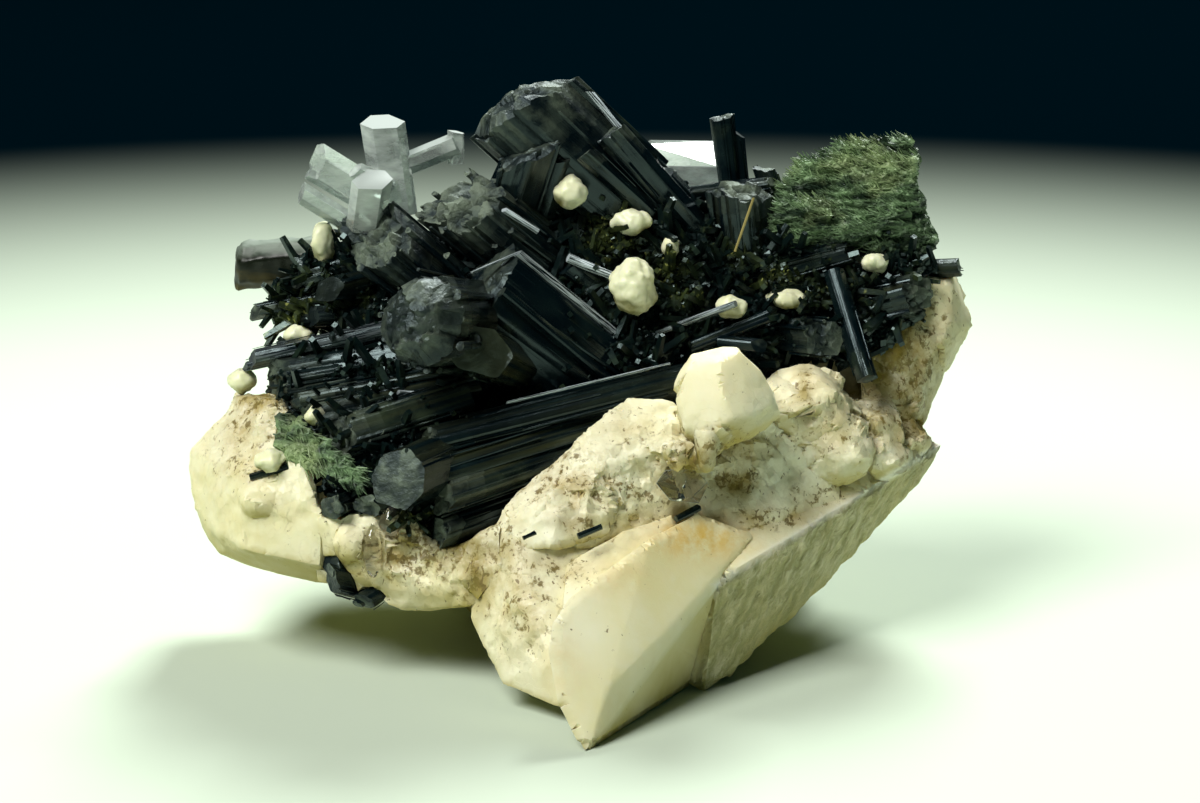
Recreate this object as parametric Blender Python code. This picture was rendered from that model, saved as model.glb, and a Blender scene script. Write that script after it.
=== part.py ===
"""Black tourmaline specimen: schorl crystals on feldspar, with quartz.

Lengths are written in millimetres and turned into metres by MM. A place that shows from the
front is written as it is seen there: across, up and back from the middle point of the
specimen, looking down by LOOK_DOWN from EYE_DISTANCE. A hidden place is written straight in
the specimen's own directions.
"""

import math
import random
from collections import namedtuple

import bmesh
import bpy
from mathutils import Vector, noise

MM = 0.001

# Driving dimensions
LOOK_DOWN = math.radians(15.0)
EYE_DISTANCE = 267.0
TABLE_BELOW_MIDDLE = 25.37
MIDDLE_FROM_ORIGIN = (1.33, 0.11)
GAP = 0.45
WIDE_CRYSTAL = 2.6

# Shares that shape a crystal: its foot against its end, the raised ring on a wide end, the
# main rod where side rods grow along it, and how far an end face may run back
FOOT_SHARE = 0.96
RAISED_RING = 0.66
MAIN_ROD = 0.93
STEEPEST_END = 0.8

# How far an end face must look along its crystal, and how far it is turned if it doesn't
LEAST_FACING = 0.35
TURNED_FACING = 0.45

# How uneven a rounded lump is where its table doesn't say
LUMP_UNEVEN = 0.12

# How a mesh is tidied after a Boolean: whether flat neighbours are joined, and the distance
# within which corners are, in metres; the first that leaves the mesh closed holds
TIDY_STEPS = ((True, 3e-6), (True, 1e-6), (True, 3e-7), (False, 3e-6), (False, 1e-6), (False, 1e-7))
FLAT_ANGLE = math.radians(0.2)


def at(across, up, back):
    """A place as seen from the front, in metres in the specimen's frame."""
    spread = (EYE_DISTANCE + back) / EYE_DISTANCE
    rise = up * spread
    y = rise * math.sin(LOOK_DOWN) + back * math.cos(LOOK_DOWN)
    z = rise * math.cos(LOOK_DOWN) - back * math.sin(LOOK_DOWN)
    return spot(across * spread, y, z)


def spot(x, y, z):
    """A place measured straight from the middle point, in metres."""
    shift = Vector((MIDDLE_FROM_ORIGIN[0], MIDDLE_FROM_ORIGIN[1], TABLE_BELOW_MIDDLE))
    return (Vector((x, y, z)) + shift) * MM


def seen(points):
    """Places as seen from the front, one after another."""
    return [at(*point) for point in points]


def straight(points):
    """Places measured straight from the middle point, one after another."""
    return [spot(*point) for point in points]


VIEW_RIGHT = Vector((1.0, 0.0, 0.0))
VIEW_UP = Vector((0.0, math.sin(LOOK_DOWN), math.cos(LOOK_DOWN)))
VIEW_BACK = Vector((0.0, math.cos(LOOK_DOWN), -math.sin(LOOK_DOWN)))


# Crystals: foot and tip as seen, half width across the view, half thickness along it, the
# way the end face looks (right, up, towards the viewer), sides, side rods grown along it,
# and how far the end bulges as a share of the half width
Crystal = namedtuple("Crystal", "foot tip wide thick face sides ribs bulge", defaults=(0.12,))

TOURMALINE = {
    "crown": Crystal((9.4, 14, 10), (-7.7, 29.6, 3), 6.3, 4.8, (-0.5, 0.85, 0.1), 8, 3, 0.36),
    "middle_giant": Crystal((6, -3, 7), (-12.2, 11.2, -1.5), 6.6, 5.5, (-0.7, 0.5, 0.4), 6, 1),
    "middle_ledge": Crystal((9, 5, 7), (-3.4, 13.8, 1.5), 1.7, 2.2, (-0.5, 0.6, 0.3), 6, 0),
    "rough_right": Crystal((-3, 11, 7), (-14, 20.2, 0.5), 4.3, 4.2, (-0.3, 0.6, 0.6), 7, 3),
    "rough_left": Crystal((-10, 7, 6), (-22.4, 16.6, -0.5), 3.9, 4.0, (-0.5, 0.4, 0.6), 7, 3),
    "rough_far": Crystal((-18, 13, 5), (-25.1, 17.6, 1), 1.7, 1.8, (-0.4, 0.3, 0.8), 6, 1),
    "stub": Crystal((-11.5, 7.5, 2), (-18.0, 8, -11.5), 4.9, 4.9, (-0.4, 0.1, 1.0), 8, 3, 0.30),
    "stub_facet": Crystal((-8, 3, 0), (-12.2, 5.2, -9.5), 2.6, 2.7, (0.35, -0.1, 1.0), 6, 0),
    "upper_pale": Crystal((-9.5, 17.5, 5), (-7, 25.2, 0.5), 3.1, 2.6, (-0.35, 0.8, 0.5), 6, 1),
    "upper_dark": Crystal((-6, 18, 5), (-3.8, 24.8, 1.5), 1.5, 1.6, (0.0, 0.8, 0.5), 6, 0),
    "slim_front": Crystal((10, 17, 6), (1, 27, 0.5), 1.8, 1.8, (-0.4, 0.4, 0.8), 6, 1),
    "slim_stub": Crystal((5, 19, 4), (-1.5, 24.9, -0.5), 1.2, 1.2, (-0.2, 0.3, 1.0), 6, 0),
    "slim_right": Crystal((11, 17.5, 9), (5.9, 22.8, 5), 1.5, 1.6, (-0.4, 0.7, 0.4), 6, 0),
    "stack_bright": Crystal((-21, 7.3, -1), (-35, 4.2, 2), 1.2, 1.5, (-0.8, 0.2, 0.4), 6, 1),
    "stack_main": Crystal((-17, 5, -1), (-32.8, 2.3, 0.5), 2.1, 2.4, (-0.7, -0.2, 0.5), 6, 1),
    "stack_third": Crystal((-14, 3.3, -1.5), (-31.6, 0, -1), 1.6, 2.0, (-0.8, -0.2, 0.4), 6, 1),
    "stack_fourth": Crystal((-12, 1.8, -2), (-29.4, -1.9, -3), 1.7, 2.0, (-0.8, 0, 0.5), 6, 1),
    "stack_facet": Crystal((-13, 0.5, -3), (-26.6, -3.8, -5), 2.4, 2.4, (-0.6, 0.2, 0.8), 6, 1),
    "left_ragged": Crystal((-25, 10.8, 3), (-34.8, 8.9, 5), 1.0, 1.2, (-0.8, 0.2, 0.3), 6, 1),
    "left_block": Crystal((-24, 14, 4), (-30.4, 11.9, 4), 1.3, 1.6, (-0.8, 0.1, 0.5), 5, 1),
    "left_steps": Crystal((-27, 12.2, 5), (-32.9, 10.8, 6), 0.9, 1.2, (-0.7, 0.5, 0.4), 5, 0),
    "left_facet": Crystal((-22, 12.5, 4), (-27.2, 11.2, -1), 1.4, 1.4, (-0.1, 0.1, 1.0), 5, 0),
    "left_dark": Crystal((-22, 9, 3), (-29.2, 8.6, 2), 1.4, 1.6, (-0.7, 0.0, 0.6), 5, 0),
    "lying_long": Crystal((8.5, 2.2, -2.5), (-17.4, -4.3, -6.5), 2.0, 2.1, (-0.8, 0, 0.5), 6, 2),
    "lying_olive": Crystal((4, -1, -2), (-16.5, -7.2, -8), 2.0, 2.0, (-0.8, 0, 0.5), 6, 2),
    "lying_low": Crystal((-1, -4.6, -3), (-16, -9.7, -8.8), 1.8, 2.0, (-0.8, 0, 0.6), 6, 2),
    "lying_dark": Crystal((-7, -9.8, -3), (-16.8, -13.4, -7.5), 1.9, 2.2, (-0.7, 0, 0.6), 6, 2),
    "end_facet": Crystal((-12, -4.5, -2), (-20.2, -7.8, -11.5), 3.1, 2.7, (-0.3, 0.1, 1), 7, 0),
    "spire": Crystal((13.1, 20.5, 9), (12.1, 28.6, 8), 1.35, 1.3, (-0.2, 0.9, 0.3), 6, 0),
    "spire_side": Crystal((14.4, 20.5, 9.5), (13.7, 27, 9), 1.0, 1.0, (0.5, 0.8, 0.2), 5, 0),
    "dome": Crystal((17.6, 20, 10), (16.4, 23.5, 9), 1.4, 1.3, (0.1, 0.9, 0.2), 6, 0),
    "plate": Crystal((8.8, 20.6, 8), (17.4, 21.7, 7), 1.0, 1.7, (0.8, 0.3, 0.4), 5, 1),
    "right_long": Crystal((11, 11, 6), (25.5, 15, 6), 1.7, 2.0, (0.8, 0.3, 0.4), 6, 2),
    "right_block": Crystal((23.5, 8.6, 8), (32.1, 10.8, 5.5), 2.5, 2.6, (0.8, 0.1, 0.7), 5, 1),
    "thin_bright": Crystal((4.5, 6.4, 1), (13.6, 9.8, -1), 0.55, 0.6, (0.8, 0.2, 0.4), 5, 0),
    "thin_low": Crystal((9, 5.4, 1), (17.5, 8.8, 1), 0.9, 1.0, (0.8, 0.2, 0.4), 5, 1),
    "thin_end": Crystal((12, 6, 0), (16, 5.6, -2), 0.8, 0.9, (0.5, 0.1, 0.8), 5, 0),
    "right_mid": Crystal((16, 7, 6), (22.6, 6.2, 1), 2.2, 2.2, (0.4, 0.0, 0.9), 5, 1),
}

# Crystals on the hidden back: foot and tip straight from the middle point
BACK_TOURMALINE = {
    "back_left": ((-4, 8, 6), (-13, 23.5, 16.5), 3.4),
    "back_middle": ((2, 8, 6), (5, 26.5, 12.5), 4.2),
    "back_low_left": ((-12, 8, 1), (-27, 19.5, 5), 3.1),
    "back_right": ((10, 9, 6), (19, 24.5, 9.5), 3.2),
    "back_low": ((-5, 9, 0), (-7.5, 27, 3), 3.6),
    "back_top": ((0, 8, 12), (-3.5, 19.5, 23), 2.8),
    "back_far_left": ((-14, 6, 5), (-25, 12, 13), 2.2),
    "back_slim": ((8, 10, 2), (13, 26, 2.5), 1.9),
}

# The dark mass of tiny crystals that fills the cluster
CORE_FRONT = [
    (-25, 3, 3), (-23, 13, 5), (-15, 17.5, 6), (-5, 20.5, 7), (3, 21.3, 6), (9, 20.2, 7),
    (17, 18, 7.5), (24, 13.5, 7), (25, 8, 7), (17, 5, 4), (9, 5.5, 1.5), (3, 9, 3),
    (8, 14, 2.5), (1, 17.5, 3), (-3, 1.5, 1), (-14, -5, -2), (-22, -4, -2), (-4, -3, 2),
]
CORE_BACK = [
    (-22, 14, 2), (-20, 15, 9), (-6, 19, 14), (8, 20, 11), (20, 17, 6), (22, 14, -2),
    (4, 18, -4), (-14, 16, -6),
]

# Quartz of the upper left, grown together
QUARTZ_GROUP = {
    "tall": Crystal((-20.4, 18.5, 5), (-21.8, 28.0, 4), 2.3, 2.0, (0.0, 0.8, 0.4), 6, 0),
    "slanted": Crystal((-22, 20.2, 4), (-28.3, 24.0, 2), 1.9, 1.8, (-0.8, 0.2, 0.5), 6, 0),
    "long_low": Crystal((-24, 17.2, 4), (-29.9, 20.9, 1), 1.1, 1.1, (-0.8, 0.2, 0.3), 6, 0),
    "chip": Crystal((-24, 19.8, 4), (-29.2, 22.9, 2), 0.7, 0.8, (-0.7, 0.5, 0.3), 5, 0),
    "front": Crystal((-23.5, 17.5, 2), (-22.8, 22.2, -1), 2.0, 1.7, (0.0, 0.7, 0.6), 6, 0),
    "hidden": Crystal((-21, 21.5, 3), (-24.5, 23.2, 0.5), 0.9, 1.0, (-0.6, 0.6, 0.4), 6, 0),
    "back_dark": Crystal((-23, 22.5, 6), (-26.2, 25.2, 5), 0.8, 0.9, (-0.5, 0.8, 0.3), 5, 0),
    "rod": Crystal((-20.4, 23.4, 5.4), (-14.2, 25.9, 5), 1.25, 1.2, (0.8, 0.3, 0.3), 6, 0),
    "rod_end": Crystal((-14.4, 23.8, 5.5), (-14.4, 27.0, 5), 0.9, 0.9, (0.2, 0.9, 0.2), 5, 0),
}
QUARTZ_SMOKY = {
    "body": Crystal((-27.5, 14.4, 8), (-36.2, 13.5, 9), 2.7, 2.6, (-0.9, 0.1, 0.2), 8, 1),
}
QUARTZ_PALE = [
    (4.2, 25.8, 13), (5, 26.2, 15), (12, 26.1, 15), (5.2, 23.6, 11), (12, 23.5, 11),
    (7, 21.3, 11.5), (12, 20.6, 12), (5.4, 22, 15), (12, 21, 15.5),
]
QUARTZ_CLEAR = [
    (5.6, -8.2, -11.8), (6.5, -6.9, -10.5), (9.4, -6.6, -9.5), (10.9, -8.3, -9), (9.9, -10.2, -10),
    (7, -9.9, -11.5), (7.5, -6.8, -7), (10.5, -8, -6.5), (8.5, -9.8, -7),
]

# Black crystals that stand by themselves
BLADE = {
    "blade": Crystal((23.4, 13, 4), (26.8, 2.1, -0.5), 1.25, 1.0, (0.2, -0.8, 0.3), 6, 0),
}
RIGHT_END = {
    "right_end": Crystal((30.5, 13.2, 11), (36.2, 13.4, 9), 1.1, 1.2, (0.9, 0.1, 0.3), 6, 0),
}
LOWER_BLOCKS = {
    "top": Crystal((-23.2, -16.2, -1), (-26.9, -16.4, -6), 1.2, 1.2, (-0.5, 0.1, 0.8), 5, 0),
    "main": Crystal((-22.6, -18.9, -2), (-27.0, -17.8, -6.5), 1.6, 1.5, (-0.8, -0.3, 0.5), 5, 1),
    "low": Crystal((-21.4, -18.6, -4.5), (-23.9, -20.2, -6), 1.3, 1.3, (-0.4, -0.7, 0.4), 6, 1),
}
LOWER_CHIPS = {
    "left": Crystal((-24, -9.6, -2), (-27, -10.6, -8), 1.5, 1.8, (-0.5, -0.2, 0.8), 5, 1),
    "right": Crystal((-18, -9.8, -4), (-23.5, -10.5, -8), 1.3, 1.4, (-0.4, -0.3, 0.8), 5, 0),
}

# Needles in the feldspar: two ends as seen, and the radius
NEEDLES = {
    "needle_left": ((-35.0, -7.6, -4.2), (-31.2, -6.5, -4.6), 0.5),
    "needle_mid": ((-7.7, -13.7, -14.2), (-6.4, -13.1, -13.8), 0.36),
    "needle_front": ((-2.2, -13.5, -14.2), (0.2, -12.5, -13.6), 0.45),
    "needle_right": ((7.6, -11.8, -9.9), (9.9, -10.6, -8.6), 0.45),
}

# White blobs: middle as seen, and half sizes across, up and back
BLOBS = {
    "blob_upper": ((-3.0, 20.9, 1.5), (1.55, 1.6, 1.5)),
    "blob_wide": ((3.2, 18.0, 2.0), (2.0, 1.2, 1.5)),
    "blob_main": ((3.3, 11.5, -1.5), (2.3, 2.9, 2.4)),
    "blob_small": ((7.2, 15.5, 2.0), (0.8, 1.0, 0.9)),
    "blob_hook": ((13.2, 9.4, 0.5), (1.5, 1.0, 1.1)),
    "blob_flat": ((18.6, 10.3, 2.6), (2.0, 0.9, 1.4)),
    "blob_right": ((27.5, 13.8, 5.5), (1.4, 0.8, 1.3)),
    "blob_left_top": ((-27.8, 15.8, 3.5), (1.2, 2.0, 1.5)),
    "blob_left_low": ((-30.2, 6.6, 2.5), (1.6, 0.9, 1.4)),
    "blob_far_left": ((-35.8, 2.0, 3.5), (1.2, 1.2, 1.3)),
    "blob_stack": ((-28.5, -1.4, -3.9), (0.9, 0.8, 0.9)),
    "blob_lobe": ((-32.9, -6.0, -4.8), (1.5, 1.2, 1.2)),
    "glass_drop_tall": ((-22.8, -15.0, -7.6), (0.9, 2.7, 1.0)),
    "glass_drop_round": ((-20.9, -12.1, -7.6), (1.2, 1.5, 1.1)),
}

# Green fibrous masses as hulls, as seen
GREEN_RIGHT = [
    [(17.5, 21.5, 8), (19.5, 23.0, 9), (23.5, 25.2, 10), (26.3, 26.3, 11), (30.8, 26.1, 11),
     (31.6, 24.4, 10), (31, 21.6, 8), (19, 15.8, 5.5), (25, 16.5, 5), (31, 17, 7),
     (18, 17, 14), (25, 24, 17), (31, 24, 17), (30, 16, 16)],
    [(26, 21, 7), (32.2, 20.6, 9), (32.9, 18.5, 9), (32.7, 16, 9), (33.7, 14.3, 9.5),
     (28, 14.8, 6.5), (26, 16, 6), (31, 20, 16), (32, 14, 15), (25, 16, 15)],
    [(16.8, 17.8, 5.5), (18.5, 20, 6), (23, 19.5, 5), (23, 16.2, 4.5), (18.5, 15.6, 5),
     (17, 18, 12), (23, 18, 12)],
]
GREEN_LEFT = [
    [(-32.4, -1.5, -1.5), (-32.7, -3.2, -3), (-32.3, -5, -4), (-30.5, -6.1, -5), (-28.5, -3.5, -5.4),
     (-29.5, -1.4, -4), (-28, -6.4, -5.8), (-30, -2, 1), (-29, -5, 1)],
    [(-29.5, -3, -5), (-30, -6.2, -5.4), (-26, -7.4, -7.3), (-23.9, -8.9, -8.4),
     (-23.4, -7.6, -8.3), (-26.8, -5.2, -7), (-25, -6, -3), (-28, -5, -1)],
]

# Feldspar blocks that show from the front, as hulls
MATRIX_FRONT = {
    "front_prism": [
        (-1.4, -35.2, -22), (-4.0, -30.0, -21.6), (-4.9, -25.0, -20.8), (-4.5, -22.3, -19.6),
        (-3.0, -20.0, -18), (1.5, -16.6, -15), (5.0, -14.0, -12.6), (9.9, -11.5, -8.6),
        (15.0, -13.4, -6.6), (11.8, -18.0, -9.8), (7.5, -22.0, -14), (3.0, -25.8, -17.6),
        (0.6, -28.8, -20.2), (7.5, -29.5, -8.1), (8.8, -28.6, -6), (-2.0, -24.0, -12),
        (6.0, -20.0, -2), (12.0, -20.0, -2),
    ],
    "right_slab": [
        (11.6, -18.6, -10), (12.4, -17.4, -9.6), (16.0, -15.6, -7), (20.0, -13.3, -4),
        (25.0, -10.0, -0.5), (29.4, -7.0, 3.5), (34.2, -4.5, 8), (10.4, -29.1, -7.1),
        (8.6, -28.0, -6.6), (13.3, -26.8, -4.5), (16.2, -24.0, -2), (16.8, -22.0, -1),
        (22.0, -18.4, 1.5), (26.5, -13.6, 4), (32.0, -7.5, 7.5), (31.0, -2.4, 9),
        (15.0, -13.3, -6), (18.0, -9.0, -1), (10.0, -25.0, 5), (24.0, -12.0, 12),
        (31.0, -5.0, 14),
    ],
    "prism_seat": [
        (-3.5, -21.0, -16.5), (-3.0, -16.5, -12.2), (2.0, -13.6, -11.4), (7.0, -11.8, -9.2),
        (8.0, -14.0, -9.4), (3.0, -17.5, -14.2), (-2.0, -21.5, -17.0), (-3.0, -18.0, -4),
        (7.0, -12.5, -4), (2.0, -22.0, -6),
    ],
    "slab_spur": [
        (16.4, -21.5, -1), (18.0, -22.2, -0.5), (20.0, -20.2, 0.5), (17.0, -19.0, -3),
        (20.0, -17.0, -1), (17.0, -20.0, 3),
    ],
    "middle_lobe": [
        (-9.6, -11.0, -8.5), (-10.3, -14.5, -9.4), (-11.0, -18.3, -9.8), (-12.4, -20.3, -9),
        (-12.6, -21.6, -9), (-12.2, -23.0, -9.5), (-9.5, -28.0, -12.2), (-4.1, -30.3, -15.5),
        (-4.6, -26.0, -16.2), (-4.9, -22.5, -15.2), (-3.0, -19.8, -13.4), (-8.0, -20.5, -14),
        (-8.5, -14.5, -11.8), (0.5, -15.5, -10.4), (-3.0, -28.0, -8), (-9.0, -24.0, -2),
        (0.0, -14.0, -2), (-8.0, -10.5, 0),
    ],
    "middle_ridge": [
        (-9.5, -10.7, -9), (-7.8, -9.6, -9.4), (-5.4, -7.6, -9.2), (-2.4, -5.2, -8.6),
        (0.2, -2.2, -7.4), (1.4, -0.8, -6.8), (2.9, 0.2, -6.2), (7.2, -0.4, -6.4),
        (9.5, -4.0, -8), (9.8, -8.0, -7), (9.3, -11.4, -5.4), (5.0, -13.8, -8.6),
        (-1.0, -14.5, -10.6), (-6.0, -14.5, -11.8), (-8.0, -12.5, -10.8),
        (0.5, -6.5, -10.6), (-8.0, -12.0, 3), (0.0, -3.0, 2), (9.0, -3.0, 3), (8.0, -12.0, 2),
    ],
    "ridge_bulge": [
        (-8.8, -11.8, -10.4), (-5.0, -9.0, -11.6), (-1.6, -7.4, -11.8), (1.6, -9.5, -11.4),
        (0.5, -13.0, -11.2), (-5.0, -14.5, -12.8), (-9.0, -14.5, -10.8), (-4.0, -11.0, -12.8),
        (-8.0, -11.5, -5), (0.0, -8.0, -5), (-3.0, -14.0, -5),
    ],
    "knob_neck": [
        (8.4, -2.5, -8.4), (15.8, -2.0, -6.8), (14.0, 3.5, -6.0), (9.6, 2.2, -6.4),
        (11.0, -4.5, -9.0), (8.0, -3.0, 2), (16.5, -2.5, 3), (14.5, 1.5, 2), (9.5, 0.5, 2),
    ],
    "knob_drip": [
        (9.6, -3.6, -11.6), (12.8, -3.8, -11.0), (11.4, -6.6, -10.4), (10.3, -7.0, -10.6),
        (9.8, -6.0, -10.8), (11.0, -5.0, -8), (12.0, -4.0, -8), (11.3, -2.6, -12.0),
    ],
    "under_knob": [
        (8.0, -6.0, -5.6), (16.5, -2.6, -3), (22.0, -6.0, -1), (24.0, -10.0, -0.6),
        (16.0, -14.0, -5.4), (9.7, -11.7, -6.0), (13.0, -9.0, -4), (10.0, -6.0, 6),
        (24.0, -5.0, 9), (16.0, -14.0, 6),
    ],
    "stained_chip": [
        (6.3, -4.2, -11.2), (8.8, -4.9, -10.8), (9.6, -6.6, -10.4), (7.3, -6.7, -11.4),
        (7.0, -4.6, -8), (9.4, -6.2, -7.6),
    ],
    "right_plate": [
        (28.0, 11.2, 7), (32.3, 13.2, 9), (35.1, 12.4, 10), (35.2, 8.0, 8.5), (33.0, 3.2, 7.7),
        (30.8, -1.8, 7), (27.2, -0.2, 5.2), (26.2, 5.0, 5.2), (35.6, 12.6, 14.5),
        (35.3, 11.0, 13.8), (37.1, 7.5, 12.6), (35.0, 3.8, 11.8), (31.6, -2.3, 10.6),
        (28.0, 11.0, 17), (27.0, -3.0, 15),
    ],
    "left_lobe": [
        (-40.6, -4.9, 4), (-40.9, -6.6, 4), (-40.4, -10.0, 3.4), (-39.1, -13.6, 3),
        (-38.0, -15.0, 2.6), (-35.0, -16.2, 0.6), (-32.0, -17.0, -0.5), (-28.5, -17.8, -1.5),
        (-26.5, -17.9, -2), (-37.3, -1.4, 3), (-33.5, -0.9, -0.5), (-30.5, -2.2, -2.6),
        (-35.2, -8.2, -4.2), (-35.6, -14.6, -3.6), (-28.0, -11.4, -6.4), (-28.2, -16.2, -5.8),
        (-38.6, -6.5, 0), (-38.0, -13.0, -0.8), (-30.0, -6.2, -5), (-37.5, -2.8, 12),
        (-39.0, -9.0, 13), (-36.0, -13.5, 12), (-28.0, -15.5, 12), (-31.0, -1.0, 13),
    ],
    "lower_slab": [
        (-28.2, -11.8, -6.4), (-23.0, -11.2, -7), (-18.5, -12.0, -7), (-14.0, -14.2, -8),
        (-12.0, -18.0, -9), (-12.4, -20.1, -9), (-16.8, -20.7, -6.5), (-19.6, -20.6, -6),
        (-22.5, -19.2, -5.5), (-28.0, -17.8, -4.5), (-24.0, -15.0, -7.4), (-16.0, -16.5, -8.6),
        (-28.0, -12.0, 10), (-13.0, -10.0, 8), (-13.0, -19.5, 3), (-24.0, -17.6, 6),
    ],
    "slab_step": [
        (-14.6, -14.8, -8.8), (-10.2, -12.6, -9.8), (-10.2, -17.0, -10.8), (-12.3, -19.6, -10),
        (-14.2, -17.5, -9.6), (-13.0, -13.0, -3), (-10.0, -18.0, -3),
    ],
    "left_shelf": [
        (-36.6, 0.4, 3), (-33.4, 0.2, -0.6), (-31.4, -0.9, -2.4), (-37.2, -1.6, 3.2),
        (-36.4, 1.0, 6), (-30.0, 0.4, 4), (-31.0, -3.0, -2.6), (-34.0, 0.6, 9),
    ],
}

# Feldspar lumps: middle as seen, half sizes, and how uneven they are
MATRIX_LUMPS = {
    "knob": ((12.3, 0.2, -8.6), (4.7, 4.9, 4.2), 0.10),
    "boulder_left": ((20.4, -0.6, 0.6), (4.6, 3.9, 4.4), 0.13),
    "boulder_right": ((27.6, -2.6, 4.2), (3.2, 2.7, 3.6), 0.13),
    "boulder_low": ((23.4, -5.2, -0.2), (3.6, 2.8, 3.0), 0.13),
    "boulder_edge": ((28.4, -5.6, 3.0), (2.8, 2.0, 2.8), 0.13),
    "boulder_corner": ((31.3, -3.9, 6.4), (1.8, 1.5, 2.0), 0.10),
    "lump_yellow": ((23.1, 4.3, 3.2), (1.4, 2.1, 1.6), 0.10),
    "lump_lobe": ((-33.8, -9.8, -4.0), (2.2, 1.8, 1.6), 0.10),
    "lump_slab": ((-24.6, -14.2, -6.6), (1.8, 1.8, 1.6), 0.12),
}

# Feldspar of the hidden back, as hulls straight from the middle point
MATRIX_BACK = {
    "rear_foot": [
        (-11.5, 5, -26), (13, 3, -26), (15, 17, -26), (-9, 19, -26),
        (-17, 3, -19), (20, 0, -18), (24, 19, -17), (-18, 23, -16), (4, 27, -14),
    ],
    "rear_left": [
        (-33, 6, -13), (-20, 2, -16), (-12, 24, -13), (-26, 24, -11), (-35, 8, -2),
        (-26, 25, -1), (-12, 26, -2), (-30, 16, 1),
    ],
    "rear_right": [
        (12, 8, -14), (26, 8, -8), (30.5, 20.5, -6), (14, 25, -13), (30, 9, 3), (31, 20, 4),
        (26, 23.5, 5), (12, 25, -1), (10, 10, 0),
    ],
    "under_body": [
        (-20, -5, -12), (22, -4, -12), (24, 14, -14), (-21, 14, -14), (-12, -2, -19.5),
        (13, -3, -20), (14, 12, -20), (-12, 12, -20), (-16, 2, -6), (16, 2, -6),
    ],
    "rear_middle": [
        (-16, 4, -18), (14, 2, -18), (16, 24, -14), (-16, 25, -14), (-14, 5, -6),
        (14, 4, -6), (12, 27, -4), (-12, 28, -5), (0, 28.4, -8),
    ],
}

MATRIX_LUMPS_BACK = {
    "rear_lump_left": ((-20, 24, -7), (5.0, 3.4, 4.2)),
    "rear_lump_low": ((8, 24, -15), (5.5, 3.6, 3.6)),
    "rear_lump_right": ((23, 23, -3), (4.6, 3.2, 4.0)),
}

# Finishes: colour, roughness
FINISH = {
    "feldspar": ((0.78, 0.73, 0.58), 0.55),
    "schorl": ((0.012, 0.014, 0.018), 0.25),
    "quartz": ((0.70, 0.73, 0.72), 0.15),
    "smoky": ((0.30, 0.30, 0.27), 0.20),
    "green": ((0.10, 0.14, 0.07), 0.80),
    "white": ((0.85, 0.83, 0.70), 0.50),
}


def clear_scene():
    for old in list(bpy.data.objects):
        bpy.data.objects.remove(old, do_unlink=True)


def make_material(finish):
    colour, roughness = FINISH[finish]
    material = bpy.data.materials.new(finish)
    material.use_nodes = True
    shader = material.node_tree.nodes["Principled BSDF"]
    shader.inputs["Base Color"].default_value = (*colour, 1.0)
    shader.inputs["Roughness"].default_value = roughness
    return material


def hull_mesh(points, grow=0.0):
    """A closed convex solid round the points, cut off at the table and grown by a gap."""
    shape = bmesh.new()
    for point in points:
        shape.verts.new(point)
    wrap_up(shape)
    table = Vector((0.0, 0.0, 0.0))
    everything = shape.verts[:] + shape.edges[:] + shape.faces[:]
    bmesh.ops.bisect_plane(
        shape, geom=everything, plane_co=table, plane_no=(0.0, 0.0, -1.0), clear_outer=True
    )
    wrap_up(shape)
    if grow:
        shape.normal_update()
        moves = [(corner, corner.normal * grow) for corner in shape.verts]
        for corner, move in moves:
            corner.co += move
        wrap_up(shape)
    return shape


def wrap_up(shape):
    """Replaces whatever the bmesh holds by the convex hull of its corners."""
    corners = [corner.co.copy() for corner in shape.verts]
    shape.clear()
    for corner in corners:
        shape.verts.new(corner)
    bmesh.ops.remove_doubles(shape, verts=shape.verts[:], dist=0.00002)
    made = bmesh.ops.convex_hull(shape, input=shape.verts[:])
    spare = {item for item in made["geom_interior"] if isinstance(item, bmesh.types.BMVert)}
    spare |= {item for item in made["geom_unused"] if isinstance(item, bmesh.types.BMVert)}
    bmesh.ops.delete(shape, geom=list(spare), context="VERTS")
    bmesh.ops.recalc_face_normals(shape, faces=shape.faces[:])


def rod_points(foot, tip, side, depth, face, sides, seed, bulge=0.0):
    """Corners of one crystal rod: a ring at the foot, a ring on its end and a bulge on that."""
    dice = random.Random(seed)
    axis = (tip - foot).normalized()
    start = dice.uniform(-0.2, 0.2)
    ring = []
    for number in range(sides):
        angle = start + math.tau * (number + dice.uniform(-0.18, 0.18)) / sides
        ring.append((math.cos(angle), math.sin(angle)))
    reach_side = max(abs(corner[0]) for corner in ring)
    reach_depth = max(abs(corner[1]) for corner in ring)
    points = []
    for corner in ring:
        offset = side * (corner[0] / reach_side) + depth * (corner[1] / reach_depth)
        points.append(foot + offset * FOOT_SHARE)
        slope = -offset.dot(face) / axis.dot(face)
        limit = STEEPEST_END * side.length
        slope = max(-limit, min(limit, slope))
        points.append(tip + offset + axis * slope)
        if bulge:
            rise = slope * RAISED_RING + bulge * side.length
            points.append(tip + offset * RAISED_RING + axis * rise)
    return points


def seed_of(name):
    """A fixed number for each name, so that a crystal keeps its shape."""
    return sum(ord(letter) * (place + 3) for place, letter in enumerate(name))


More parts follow.
